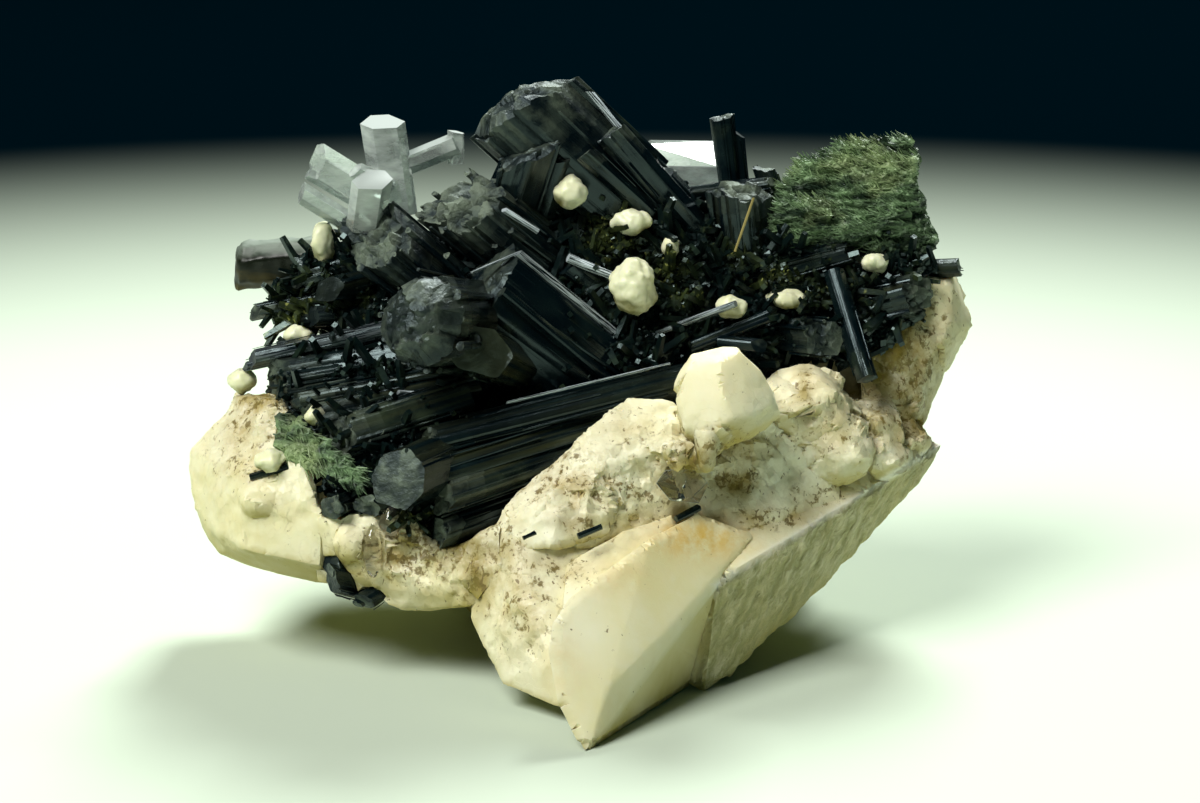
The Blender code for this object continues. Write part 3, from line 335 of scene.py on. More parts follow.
ORANGE_SPOTS = [
    (10.0, -13.6, 5.5, 2.4, 1.0), (2.5, -17.5, 4.0, 2.4, 0.35), (-4.0, -27.0, 3.0, 4.0, 0.3),
    (21.0, 2.0, 3.0, 2.5, 0.3), (30.0, -3.5, 3.0, 2.0, 0.4), (12.3, 0.0, 4.0, 3.0, 0.15),
]

# Green and yellow crumbs on the dark mass, in the same form
MOSS_SPOTS = [
    (1.3, 16.2, 2.4, 1.8, 1.0), (6.7, 13.0, 2.2, 1.4, 0.9), (3.0, 19.2, 2.5, 1.2, 0.6),
    (13.8, 16.0, 1.4, 3.0, 0.6), (9.0, 10.5, 1.6, 1.0, 0.9), (18.0, 12.6, 3.0, 1.0, 0.8),
    (-28.0, 9.0, 3.0, 1.5, 0.6), (-31.0, 7.2, 3.0, 1.2, 0.8), (-15.0, -12.4, 3.0, 1.6, 0.5),
    (24.0, 10.6, 3.0, 1.4, 0.5), (-19.0, -12.0, 4.0, 2.0, 0.4),
]

# Where the feldspar is granular rather than smooth, as seen, in the same form
GRAIN_SPOTS = [
    (-1.0, -8.0, 8.0, 5.5, 1.0), (-9.0, -21.0, 3.5, 7.0, 0.7), (-18.0, -15.5, 7.0, 4.5, 1.0),
    (24.0, -3.0, 8.0, 5.5, 0.9), (16.0, -8.5, 6.0, 4.5, 0.6), (-33.0, -2.0, 5.0, 4.0, 0.9),
    (-31.0, -9.0, 4.0, 4.0, 0.6), (31.5, 5.0, 4.5, 8.0, 0.5), (6.0, -6.0, 4.0, 5.0, 0.8),
    (-37.5, -6.0, 4.0, 7.0, 0.6), (11.0, -6.0, 5.0, 3.5, 0.9),
]

# Where the feldspar breaks in larger flat blocks, in the same form
BLOCK_SPOTS = [
    (12.3, 1.0, 5.5, 6.5, 0.8), (22.0, -1.5, 8.0, 6.0, 1.0), (30.0, -4.0, 4.0, 3.5, 1.0),
    (31.0, 8.0, 5.0, 10.0, 1.0), (3.0, -6.0, 7.0, 5.0, 0.9), (-36.0, -8.0, 5.0, 8.0, 0.6),
]

# The drip below the knob: across, up, back and radius of its rings, as seen
DRIP = [
    (10.8, -2.8, -11.0, 1.6), (10.8, -4.2, -11.3, 1.05), (10.7, -5.6, -11.3, 0.9),
    (10.6, -6.6, -11.2, 0.75), (10.55, -7.2, -11.1, 0.35),
]

# One prism of a crystal: its foot and tip, its two half widths as vectors, the way its end
# looks, and the same looks as its crystal
Rod = namedtuple(
    "Rod", "foot tip side depth face sides seed bulge rough olive gleam pale",
    defaults=(0.0, 0.0),
)


def at(across, up, back):
    """A place as seen from the front, in metres in the specimen's frame."""
    spread = (EYE_DISTANCE + back) / EYE_DISTANCE
    place = VIEW_RIGHT * across * spread + VIEW_UP * up * spread + VIEW_BACK * back
    return MIDDLE + place * MM


def spot(x, y, z):
    """A place measured straight from the middle point, in metres."""
    return MIDDLE + Vector((x, y, z)) * MM


def as_seen(points):
    """Across, up and back in millimetres for an array of places in metres."""
    away = (points - np.array(MIDDLE)) / MM
    back = away @ np.array(VIEW_BACK)
    spread = (EYE_DISTANCE + back) / EYE_DISTANCE
    return away[:, 0] / spread, away @ np.array(VIEW_UP) / spread, back


def seed_of(name):
    """A fixed seed for each name."""
    return sum(ord(letter) * (place + 3) for place, letter in enumerate(name))


def crystal_rods(name, crystal):
    """The main rod of a crystal and the side rods and splinters that grew along it."""
    foot = at(*crystal.foot)
    tip = at(*crystal.tip)
    axis = (tip - foot).normalized()
    face = VIEW_RIGHT * crystal.face[0] + VIEW_UP * crystal.face[1] - VIEW_BACK * crystal.face[2]
    face.normalize()
    if face.dot(axis) < 0.35:
        face = (face + axis * (0.45 - face.dot(axis))).normalized()
    across = axis.cross(VIEW_BACK)
    if across.length < 0.2:
        across = axis.cross(VIEW_UP)
    across.normalize()
    side = across * crystal.wide * MM
    depth = axis.cross(across) * crystal.thick * MM
    seed = seed_of(name)
    bulge = crystal.bulge if crystal.wide > BULGE_ABOVE else 0.0
    trunk = Rod(
        foot, tip, side, depth, face, crystal.sides, seed, bulge, crystal.rough, crystal.olive,
        crystal.gleam, crystal.pale,
    )
    share = 0.93 if crystal.ribs else 1.0
    rods = [trunk._replace(side=side * share, depth=depth * share)]
    dice = random.Random(seed + 1)
    turn = dice.uniform(0.0, math.tau)
    for number in range(crystal.ribs):
        angle = turn + math.tau * number / crystal.ribs + dice.uniform(-0.3, 0.3)
        share = dice.uniform(0.42, 0.55)
        shift = side * math.cos(angle) * (1.0 - share) + depth * math.sin(angle) * (1.0 - share)
        lag = axis * (-shift.dot(face) / axis.dot(face)) + axis * dice.uniform(-1.1, 0.5) * MM
        rods.append(trunk._replace(
            foot=foot + shift, tip=tip + shift + lag, side=side * share, depth=depth * share,
            sides=6, seed=seed + 7 + number, bulge=0.0, pale=0.0,
        ))
    return rods + splinter_rods(trunk, crystal.splinters)


def splinter_rods(trunk, count):
    """Thin rods on the flanks of a main rod, each with its own start and end."""
    dice = random.Random(trunk.seed + 2)
    length = trunk.tip - trunk.foot
    axis = length.normalized()
    rods = []
    for number in range(count):
        angle = dice.uniform(0.0, math.tau)
        share = dice.uniform(0.05, 0.15)
        reach = 0.98 - share * 0.8
        shift = trunk.side * math.cos(angle) * reach + trunk.depth * math.sin(angle) * reach
        start = trunk.foot + length * dice.uniform(0.05, 0.6)
        lag = axis * (-shift.dot(trunk.face) / axis.dot(trunk.face))
        end = trunk.tip + lag - length * max(0.0, dice.uniform(-0.25, 0.35))
        end = end + trunk.side * dice.uniform(-0.12, 0.12) + trunk.depth * dice.uniform(-0.12, 0.12)
        if (end - start).dot(axis) < 1.5 * MM:
            continue
        rods.append(trunk._replace(
            foot=start + shift, tip=end + shift, side=trunk.side * share,
            depth=trunk.depth * share, sides=dice.choice((4, 5, 6)),
            seed=trunk.seed + 40 + number, bulge=0.0,
            olive=min(1.0, trunk.olive * dice.uniform(0.5, 1.8)), pale=0.0,
        ))
    return rods


def back_rods(name, ends):
    """The rods of a crystal on the hidden back."""
    foot = spot(*ends[0])
    tip = spot(*ends[1])
    axis = (tip - foot).normalized()
    side = axis.orthogonal().normalized() * ends[2] * MM
    depth = axis.cross(side)
    face = (axis + side.normalized() * 0.35).normalized()
    seed = seed_of(name)
    trunk = Rod(
        foot, tip, side, depth, face, sides=6, seed=seed, bulge=0.0, rough=0.6, olive=0.1,
    )
    rods = [trunk]
    dice = random.Random(seed)
    for number in range(2):
        angle = math.tau * number / 2 + dice.uniform(0.0, 1.5)
        shift = (side * math.cos(angle) + depth * math.sin(angle)) * 0.6
        lag = axis * dice.uniform(-4.0, -1.0) * MM
        rods.append(trunk._replace(
            foot=foot + shift, tip=tip + shift + lag, side=side * 0.5, depth=depth * 0.5,
            face=axis, seed=seed + number,
        ))
    return rods + splinter_rods(trunk, 12)


def outline(rod, count):
    """Places round a rod's cross-section, one unit each way, with rounded corners."""
    corner_dice = random.Random(rod.seed)
    start = corner_dice.uniform(-0.2, 0.2)
    corners = []
    for number in range(rod.sides):
        angle = start + math.tau * (number + corner_dice.uniform(-0.18, 0.18)) / rod.sides
        corners.append((math.cos(angle), math.sin(angle)))
    corners = np.array(corners)
    corners /= np.abs(corners).max(0)
    loop = np.vstack([corners, corners[:1]])
    steps = np.hypot(*np.diff(loop, axis=0).T)
    run = np.concatenate([[0.0], np.cumsum(steps)])
    places = np.linspace(0.0, run[-1], count, endpoint=False)
    ring = np.stack([np.interp(places, run, loop[:, 0]), np.interp(places, run, loop[:, 1])], 1)
    for _ in range(max(1, count // 40)):
        ring = (ring * 2.0 + np.roll(ring, 1, 0) + np.roll(ring, -1, 0)) / 4.0
    return ring


class Columns:
    """The parallel columns that a crystal is made of: each has its own height and depth."""

    def __init__(self, radius, cells, jag, rough, dice):
        number = max(3, int(radius * radius * 4.0 * cells))
        self.radius = radius
        self.middles = dice.uniform(-1.05, 1.05, (number, 2))
        self.lift = -dice.uniform(0.0, 1.0, number) ** 1.5 * jag * rough * min(radius, 2.5)
        self.tilt = dice.normal(0.0, 0.14 * rough, (number, 2))
        self.depth = dice.uniform(0.0, 1.0, number) ** 2

    def nearest(self, shares):
        """Which column each place belongs to."""
        far = ((shares[:, None, :] - self.middles[None]) ** 2).sum(2)
        return far.argmin(1)

    def rise(self, shares):
        """How far the column ends stand out at each place, in millimetres."""
        own = self.nearest(shares)
        lean = ((shares - self.middles[own]) * self.radius * self.tilt[own]).sum(1)
        return self.lift[own] + lean


def cap_shares(ring, spacing, dice):
    """Places on the end of a rod inside its ring, one unit each way, evenly spread."""
    steps = np.arange(-1.0, 1.0 + spacing, spacing)
    grid = []
    for row, across in enumerate(steps):
        grid.extend((along + (row % 2) * spacing * 0.5, across) for along in steps)
    grid = np.array(grid)
    grid = grid + dice.uniform(-0.22, 0.22, grid.shape) * spacing
    edge = np.roll(ring, -1, 0) - ring
    span = grid[:, None, :] - ring[None]
    cross = edge[None, :, 0] * span[:, :, 1] - edge[None, :, 1] * span[:, :, 0]
    lengths = np.hypot(edge[:, 0], edge[:, 1]) + 1e-9
    inside = (cross / lengths[None]).min(1) > spacing * 0.35
    return grid[inside]


def cap_triangles(ring, inner):
    """Even triangles over the end of a rod: its ring first, then the inner places."""
    places = [Vector(place) for place in np.vstack([ring, inner])]
    count = len(ring)
    border = [(number, (number + 1) % count) for number in range(count)]
    made = delaunay_2d_cdt(places, border, [], 1, 1e-7)
    source = [given[0] if given else -1 for given in made[3]]
    triangles = []
    for face in made[2]:
        corners = [source[corner] for corner in face]
        if len(corners) == 3 and min(corners) >= 0:
            triangles.append(corners)
    return np.array(triangles, int).reshape(-1, 3)


def rod_mesh(rod, settings):
    """A detailed rod: points, triangles, UVs, which triangles are end, which points are high."""
    dice = np.random.default_rng(rod.seed)
    length = (rod.tip - rod.foot).length
    axis = (rod.tip - rod.foot) / length
    radius = 0.5 * (rod.side.length + rod.depth.length) / MM
    count = int(np.clip(math.tau * radius * settings.detail, 7, 160))
    rows = int(np.clip(length / MM * 0.6, 3, 18))
    ring = outline(rod, count)
    coarse = Columns(radius, settings.cells * 0.16, settings.jag, rod.rough, dice)
    fine = Columns(radius, settings.cells, settings.jag * 0.45, rod.rough, dice)
    groove = settings.groove * (0.5 + min(radius, 3.0) * 0.25) / radius
    hair = np.repeat(dice.uniform(0.0, 1.0, count), 2)[:count] ** 3
    depth_of = fine.depth[fine.nearest(ring)] * 0.6 + coarse.depth[coarse.nearest(ring)] * 0.7
    depth_of = depth_of + hair * 0.3
    side = np.array(rod.side)
    depth = np.array(rod.depth)
    ax = np.array(axis)
    face = np.array(rod.face)
    limit = 0.8 * rod.side.length

    def offsets(shares):
        return shares[:, :1] * side + shares[:, 1:] * depth

    def slopes(offset):
        return np.clip(-(offset @ face) / (ax @ face), -limit, limit)

    def rise(shares):
        return coarse.rise(shares) + fine.rise(shares)

    points = []
    heights = []
    full = offsets(ring)
    slope = slopes(full)
    rim = rise(ring)
    stop = np.where(dice.uniform(size=count) < 0.12, dice.uniform(0.5, 1.0, count), 2.0)
    for row in range(rows + 1):
        along = row / rows
        shrink = 1.0 - groove * depth_of * (0.7 + 0.3 * math.sin(along * 4.0 + rod.seed))
        shrink = shrink - np.where(along > stop, groove * 0.5, 0.0)
        offset = full * shrink[:, None] * (0.96 + 0.04 * along)
        height = along * (length + slope + rim * MM)
        points.append(np.array(rod.foot) + offset + ax * height[:, None])
        heights.append(height / MM)
    edge = ring * shrink[:, None]
    inner = cap_shares(edge, 1.1 / (settings.detail * max(radius, 0.6)), dice)
    if len(inner) == 0:
        inner = np.zeros((1, 2))
    offset = offsets(inner)
    dome = rod.bulge * rod.side.length * np.clip(1.0 - (inner ** 2).sum(1), 0.0, 1.0)
    height = slopes(offset) + rise(inner) * MM + dome
    points.append(np.array(rod.tip) + offset + ax * height[:, None])
    points.append(np.array([rod.foot]))
    worn = 0.8 if rod.rough > WORN_ABOVE else 0.0
    own_rise = rise(inner)
    spread = own_rise.std() * 2.0 + 0.02
    # How high each place stands; the material uses it to paint shade into the low places
    lifted = [np.tile(1.0 - np.clip(depth_of, 0.0, 1.0), rows + 1)]
    lifted.append(np.clip(0.5 + (own_rise - own_rise.mean()) / spread * 0.5, 0.0, 1.0))
    lifted.append(np.array([0.5]))
    cap = cap_triangles(edge, inner)
    return (*stitch(points, count, rows, radius, heights, cap, worn), np.concatenate(lifted))


def stitch(points, count, rows, radius, heights, cap, worn):
    """Joins the rings of a rod with triangles and adds the triangles of its end."""
    around = np.arange(count)
    after = (around + 1) % count
    lap = np.arange(count + 1) * (math.tau * radius / count)
    triangles = []
    uvs = []
    for row in range(rows):
        low = row * count
        high = low + count
        quad = np.stack([low + around, low + after, high + after, high + around], 1)
        triangles.append(quad[:, [0, 1, 2]])
        triangles.append(quad[:, [0, 2, 3]])
        v_low = heights[row]
        v_high = heights[row + 1]
        corner = [
            np.stack([lap[:-1], v_low], 1), np.stack([lap[1:], v_low[after]], 1),
            np.stack([lap[1:], v_high[after]], 1), np.stack([lap[:-1], v_high], 1),
        ]
        uvs.append(np.stack([corner[0], corner[1], corner[2]], 1))
        uvs.append(np.stack([corner[0], corner[2], corner[3]], 1))
    foot = sum(len(ring) for ring in points) - 1
    triangles.append(np.stack([after, around, np.full(count, foot)], 1))
    triangles.append(cap + rows * count)
    uvs.append(np.zeros((count + len(cap), 3, 2)))
    on_end = np.zeros(rows * count * 2 + count + len(cap))
    on_end[rows * count * 2:] = 1.0
    along = np.repeat(np.arange(rows) / rows, count * 2)
    on_end[:rows * count * 2] = np.clip((along - 0.65) / 0.35, 0.0, 1.0) * worn
    return np.vstack(points), np.vstack(triangles), np.vstack(uvs), on_end


def rods_piece(name, rods, settings, material):
    """One mesh object of many detailed rods."""
    made = [rod_mesh(rod, settings) for rod in rods]
    points, triangles, uvs, ends, highs = zip(*made)
    firsts = np.cumsum([0] + [len(own) for own in points[:-1]])
    shifted = [own + first for own, first in zip(triangles, firsts)]
    piece = mesh_object(name, np.vstack(points), np.vstack(shifted), material)
    layer = piece.data.uv_layers.new(name="grain")
    layer.data.foreach_set("uv", np.vstack(uvs).astype(np.float32).ravel())
    counts = [len(own) for own in triangles]
    shares = np.repeat([max(rod.rough, rod.pale) for rod in rods], counts)
    add_attribute(piece.data, "on_end", np.concatenate(ends) * shares, "FACE")
    add_attribute(piece.data, "olive", np.repeat([rod.olive for rod in rods], counts), "FACE")
    # How strongly a reflection is painted on each crystal's flanks
    add_attribute(piece.data, "gleam", np.repeat([rod.gleam for rod in rods], counts), "FACE")
    add_attribute(piece.data, "lifted", np.concatenate(highs))
    close_holes(piece.data)
    shade(piece.data, 22.0)
    return piece


def shade(mesh, sharp_from):
    """Smooth shading, but with sharp edges from the angle in degrees."""
    mesh.shade_smooth()
    mesh.set_sharp_from_angle(angle=math.radians(sharp_from))


def close_holes(mesh):
    """Fills the few slits that crossing edges leave in the ends."""
    shape = bmesh.new()
    shape.from_mesh(mesh)
    rims = [edge for edge in shape.edges if edge.is_boundary]
    bmesh.ops.holes_fill(shape, edges=rims, sides=0)
    shape.to_mesh(mesh)
    shape.free()


def linked(name, data):
    """A new object in the scene with the given mesh, light or camera."""
    made = bpy.data.objects.new(name, data)
    bpy.context.scene.collection.objects.link(made)
    return made


def shape_object(name, shape):
    """A new object of an edited shape, which is freed."""
    mesh = bpy.data.meshes.new(name)
    shape.to_mesh(mesh)
    shape.free()
    return linked(name, mesh)


def welded_copy(name, node_name):
    """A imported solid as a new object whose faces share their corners."""
    shape = bmesh.new()
    shape.from_mesh(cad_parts[node_name].data)
    bmesh.ops.remove_doubles(shape, verts=shape.verts, dist=0.002 * MM)
    flat = math.radians(1.0)
    bmesh.ops.dissolve_limit(shape, angle_limit=flat, verts=shape.verts, edges=shape.edges)
    return shape_object(name, shape)


def mesh_object(name, points, triangles, material):
    """A new object of plain triangles."""
    mesh = bpy.data.meshes.new(name)
    mesh.from_pydata(points.tolist(), [], triangles.tolist())
    mesh.materials.append(material)
    return linked(name, mesh)


def add_attribute(mesh, name, values, domain="POINT"):
    """A number on each point or face, which the materials and the scatter read."""
    layer = mesh.attributes.new(name, "FLOAT", domain)
    layer.data.foreach_set("value", values.astype(np.float32))


def paint(piece, *materials):
    """The piece keeps these materials alone."""
    piece.data.materials.clear()
    for material in materials:
        piece.data.materials.append(material)


def mesh_points(mesh):
    """The places of a mesh's corners, in metres."""
    places = np.zeros(len(mesh.vertices) * 3, np.float32)
    mesh.vertices.foreach_get("co", places)
    return places.reshape(-1, 3).astype(float)


def mesh_normals(mesh):
    """The ways that a mesh faces at its corners."""
    ways = np.zeros(len(mesh.vertices) * 3, np.float32)
    mesh.vertex_normals.foreach_get("vector", ways)
    return ways.reshape(-1, 3).astype(float)


def move_points(mesh, points):
    """Puts a mesh's corners at new places."""
    mesh.vertices.foreach_set("co", points.astype(np.float32).ravel())
    mesh.update()


def raised(mesh, points, rise):
    """Moves the surface outwards by the millimetres at each place, and returns the places."""
    moved = points + mesh_normals(mesh) * rise[:, None] * MM
    move_points(mesh, moved)
    return moved


def solid_copy(name, node_name, material, voxel, smooth):
    """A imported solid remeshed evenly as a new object, rounded a little."""
    shape = bmesh.new()
    shape.from_mesh(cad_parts[node_name].data)
    return remeshed(shape_object(name, shape), material, voxel, smooth)


def remeshed(piece, material, voxel, smooth):
    """The piece with an even mesh of the voxel size in millimetres, relaxed smooth times."""
    remesh = piece.modifiers.new("even", "REMESH")
    remesh.mode = "VOXEL"
    remesh.voxel_size = voxel * MM
    relax = piece.modifiers.new("relax", "SMOOTH")
    relax.iterations = smooth
    relax.factor = 0.5
    apply_modifiers(piece)
    paint(piece, material)
    return piece


def crisp_copy(name, node_name, material, fineness):
    """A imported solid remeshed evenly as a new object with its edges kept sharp."""
    piece = welded_copy(name, node_name)
    remesh = piece.modifiers.new("even", "REMESH")
    remesh.mode = "SHARP"
    remesh.octree_depth = 8
    remesh.scale = fineness
    remesh.use_remove_disconnected = True
    apply_modifiers(piece)
    paint(piece, material)
    return piece


def thinned(piece, triangles):
    """Takes triangles away where the surface is plain, down to about the number."""
    piece.data.calc_loop_triangles()
    fewer = piece.modifiers.new("fewer", "DECIMATE")
    fewer.ratio = min(1.0, triangles / len(piece.data.loop_triangles))
    apply_modifiers(piece)


def apply_modifiers(piece):
    """The piece becomes the plain mesh that its modifiers make."""
    ready = piece.evaluated_get(bpy.context.evaluated_depsgraph_get())
    made = bpy.data.meshes.new_from_object(ready)
    piece.modifiers.clear()
    piece.data = made


def hull_piece(name, points):
    """The convex solid round the points."""
    shape = bmesh.new()
    for point in points:
        shape.verts.new(point)
    made = bmesh.ops.convex_hull(shape, input=shape.verts[:])
    spare = [item for item in made["geom_interior"] if isinstance(item, bmesh.types.BMVert)]
    bmesh.ops.delete(shape, geom=spare, context="VERTS")
    return shape_object(name, shape)


def noise_field(points, size, seed, octaves=2):
    """Smooth noise of about -1 to 1 at each place; size is the grain in millimetres."""
    shift = Vector((seed * 1.7, seed * 0.9, seed * 2.3))
    scale = 1.0 / (size * MM)
    values = np.empty(len(points))
    for number, point in enumerate(points):
        place = Vector(point) * scale + shift
        values[number] = noise.fractal(place, 1.0, 2.0, octaves)
    return values


def facet_field(points, size, seed, tilt):
    """Small steps in millimetres, as if chips of about the size had broken off the surface."""
    low = points.min(0)
    span = points.max(0) - low
    dice = np.random.default_rng(seed)
    total = int(np.prod(span / (size * MM)) * 1.2) + 8
    seeds = low + dice.uniform(0.0, 1.0, (total, 3)) * span
    leans = dice.normal(0.0, tilt, (total, 3))
    tree = kdtree.KDTree(total)
    for number, place in enumerate(seeds):
        tree.insert(place, number)
    tree.balance()
    owner = np.array([tree.find(point)[1] for point in points])
    return ((points - seeds[owner]) * leans[owner]).sum(1) / MM


def flattened(mesh, points, size, seed, share):
    """The places moved on to flat chips of about the size in millimetres, share by share."""
    ways = mesh_normals(mesh)
    dice = np.random.default_rng(seed)
    spread = np.linalg.norm(np.ptp(points, 0)) * 1.1
    total = int((spread / (size * MM)) ** 2)
    chosen = dice.choice(len(points), total, replace=False)
    apart = points + ways * (0.6 * size * MM)
    tree = kdtree.KDTree(total)
    for number, place in enumerate(apart[chosen]):
        tree.insert(place, number)
    tree.balance()
    owner = np.array([tree.find(place)[1] for place in apart])
    amount = np.maximum(np.bincount(owner, minlength=total), 1)[:, None]
    centre = np.stack([np.bincount(owner, points[:, i], total) for i in range(3)], 1) / amount
    normal = np.stack([np.bincount(owner, ways[:, i], total) for i in range(3)], 1)
    normal = normal / (np.linalg.norm(normal, axis=1)[:, None] + 1e-9)
    normal = normal + dice.normal(0.0, 0.06, normal.shape)
    away = ((centre[owner] - points) * normal[owner]).sum(1)
    away = np.clip(away, -0.35 * size * MM, 0.35 * size * MM)
    return points + normal[owner] * (away * share)[:, None]


def spot_field(across, up, spots):
    """How strongly each place lies in the listed soft-edged patches, 0 to 1."""
    field = np.zeros(len(across))
    for middle_across, middle_up, half_width, half_height, strength in spots:
        far = ((across - middle_across) / half_width) ** 2 + ((up - middle_up) / half_height) ** 2
        field = np.maximum(field, strength * np.exp(-far))
    return field


def above_slab_edge(across, up):
    """How far above the upper edge of the slab's side each place is, as seen."""
    return (up - SLAB_EDGE_UP) - (across - SLAB_EDGE_LEFT) * SLAB_CLIMB


def slab_share(across, up):
    """One on the ribbed side of the right slab as seen, falling to none beyond its edges."""
    left = across - 11.4 + (up + 19.0) * -0.21
    below = np.clip(0.5 - above_slab_edge(across, up) * 1.2, 0.0, 1.0)
    return below * np.clip(left * 1.5, 0.0, 1.0)


def relaxed(mesh, points, rounds):
    """The places moved to the middle of their neighbours, round by round."""
    edges = np.zeros(len(mesh.edges) * 2, np.int32)
    mesh.edges.foreach_get("vertices", edges)
    edges = edges.reshape(-1, 2)
    degree = np.bincount(edges.ravel(), minlength=len(points))[:, None]
    smooth = points.copy()
    for _ in range(rounds):
        gathered = np.zeros_like(smooth)
        for axis in range(3):
            gathered[:, axis] += np.bincount(edges[:, 0], smooth[edges[:, 1], axis], len(points))
            gathered[:, axis] += np.bincount(edges[:, 1], smooth[edges[:, 0], axis], len(points))
        smooth = gathered / np.maximum(degree, 1)
    return smooth


def hollows(mesh, points, rounds):
    """How far each place lies below its neighbourhood, in millimetres."""
    return ((relaxed(mesh, points, rounds) - points) * mesh_normals(mesh)).sum(1) / MM


def new_material(name):
    """A new material, its tree and its Principled shader."""
    material = bpy.data.materials.new(name)
    material.use_nodes = True
    tree = material.node_tree
    return material, tree, tree.nodes["Principled BSDF"]


def fill(tree, made, inputs):
    """Links or sets the inputs of a node, by name or number."""
    for name, value in inputs.items():
        socket = made.inputs[name]
        if isinstance(value, bpy.types.NodeSocket):
            tree.links.new(value, socket)
        else:
            socket.default_value = value


def node(tree, kind, inputs=None, **settings):
    """A new node with its settings and inputs."""
    made = tree.nodes.new(kind)
    for field, value in settings.items():
        setattr(made, field, value)
    fill(tree, made, inputs or {})
    return made


def object_place(tree):
    """The place on the piece in metres."""
    return node(tree, "ShaderNodeTexCoord").outputs["Object"]


def stretched(tree, source, scale):
    """The place with each axis scaled, for patterns that run along one of them."""
    return node(tree, "ShaderNodeMapping", {"Vector": source, "Scale": scale}).outputs["Vector"]


def grain(tree, source, scale, detail=3.0, roughness=0.55):
    """Noise from 0 to 1."""
    made = node(tree, "ShaderNodeTexNoise", {
        "Vector": source, "Scale": scale, "Detail": detail, "Roughness": roughness,
    })
    return made.outputs["Fac"]


def ramp(tree, source, low, high, low_value=0.0, high_value=1.0):
    """The low value up to low, the high value from high on, and even steps between."""
    made = node(tree, "ShaderNodeMapRange", {
        "Value": source, "From Min": low, "From Max": high, "To Min": low_value,
        "To Max": high_value,
    })
    return made.outputs["Result"]


def math_of(tree, operation, first, second):
    """The result of one step of arithmetic on two numbers or outputs."""
    return node(tree, "ShaderNodeMath", {0: first, 1: second}, operation=operation).outputs[0]


def product(tree, first, second):
    return math_of(tree, "MULTIPLY", first, second)


def vector_of(tree, operation, first, second):
    """The same for two vectors; a dot product is a number."""
    made = node(tree, "ShaderNodeVectorMath", {0: first, 1: second}, operation=operation)
    return made.outputs["Value" if operation == "DOT_PRODUCT" else "Vector"]


def scaled(tree, vector, scale):
    made = node(tree, "ShaderNodeVectorMath", {0: vector, "Scale": scale}, operation="SCALE")
    return made.outputs["Vector"]


def mix(tree, share, first, second):
    """The first colour where the share is none, the second where it is one."""
    made = node(tree, "ShaderNodeMix", data_type="RGBA")
    for socket, value in ((0, share), (6, first), (7, second)):
        if isinstance(value, bpy.types.NodeSocket):
            tree.links.new(value, made.inputs[socket])
        elif socket == 0:
            made.inputs[0].default_value = value
        else:
            made.inputs[socket].default_value = (*value, 1.0)
    return made.outputs[2]


def attribute(tree, name):
    """The number that add_attribute put on the piece."""
    return node(tree, "ShaderNodeAttribute", attribute_name=name).outputs["Fac"]


def bump(tree, height, distance, strength, before=None):
    """A bumped normal; the distance is in millimetres."""
    inputs = {"Height": height, "Distance": distance * MM, "Strength": strength}
    if before is not None:
        inputs["Normal"] = before
    return node(tree, "ShaderNodeBump", inputs).outputs["Normal"]


def schorl_material():
    """Black glossy crystal: fine lines on its flanks, pits on its ends, olive where worn; a painted
    reflection on some flanks and painted shade in the hollows of its pale ends.
    """
    material, tree, shader = new_material("schorl crystal")
    lap = node(tree, "ShaderNodeUVMap", uv_map="grain").outputs["UV"]
    place = object_place(tree)
    lines = grain(tree, stretched(tree, lap, (3.2, 0.05, 1.0)), 1.0, 4.0, 0.7)
    wide_lines = grain(tree, stretched(tree, lap, (0.9, 0.03, 1.0)), 1.0, 2.0)
    on_end = attribute(tree, "on_end")
    olive = attribute(tree, "olive")
    dirt = grain(tree, place, 260.0, 5.0, 0.65)
    patches = grain(tree, place, 95.0, 3.0)
    base = mix(tree, ramp(tree, dirt, 0.45, 0.75), (0.001, 0.004, 0.006), (0.007, 0.015, 0.015))
    olive_share = product(tree, olive, ramp(tree, wide_lines, 0.42, 0.66))
    base = mix(tree, olive_share, base, (0.060, 0.062, 0.022))
    moss = product(tree, ramp(tree, patches, 0.56, 0.70), ramp(tree, dirt, 0.42, 0.62))
    base = mix(tree, product(tree, moss, 0.55), base, (0.045, 0.060, 0.030))
    end_share = product(tree, on_end, ramp(tree, dirt, 0.40, 0.58))
    # Painted shade: the pale end colour fades to a tenth where the surface lies low, in the grooves and
    # the sunken columns
    proud = ramp(tree, attribute(tree, "lifted"), 0.25, 0.70, 0.10, 1.0)
    end_share = product(tree, end_share, proud)
    base = mix(tree, end_share, base, (0.15, 0.18, 0.13))
    straw = ramp(tree, olive, 1.5, 2.5)
    base = mix(tree, straw, base, (0.34, 0.28, 0.10))
    broken = grain(tree, stretched(tree, lap, (5.0, 0.25, 1.0)), 1.0, 3.0, 0.6)
    # Painted reflection: pale blue-white streaks on the flanks of the crystals that carry it
    painted_reflection_share = product(tree, attribute(tree, "gleam"), ramp(tree, broken, 0.44, 0.56))
    base = mix(tree, painted_reflection_share, base, (0.72, 0.82, 0.86))
    flank_rough = ramp(tree, lines, 0.3, 0.7, 0.10, 0.30)
    first = bump(tree, lines, 0.10, 0.40)
    crags = product(tree, grain(tree, place, 750.0, 5.0, 0.65), on_end)
    crags = bump(tree, crags, 0.7, 0.7, first)
    fill(tree, shader, {
        "Base Color": base,
        "Roughness": math_of(tree, "ADD", flank_rough, product(tree, on_end, 0.40)),
        "IOR": SCHORL_IOR,
        "Specular IOR Level": 0.31,
        "Specular Tint": (0.75, 0.96, 1.0, 1.0),
        "Normal": bump(tree, grain(tree, place, 900.0, 4.0, 0.6), 0.08, 0.35, crags),
    })
    return material


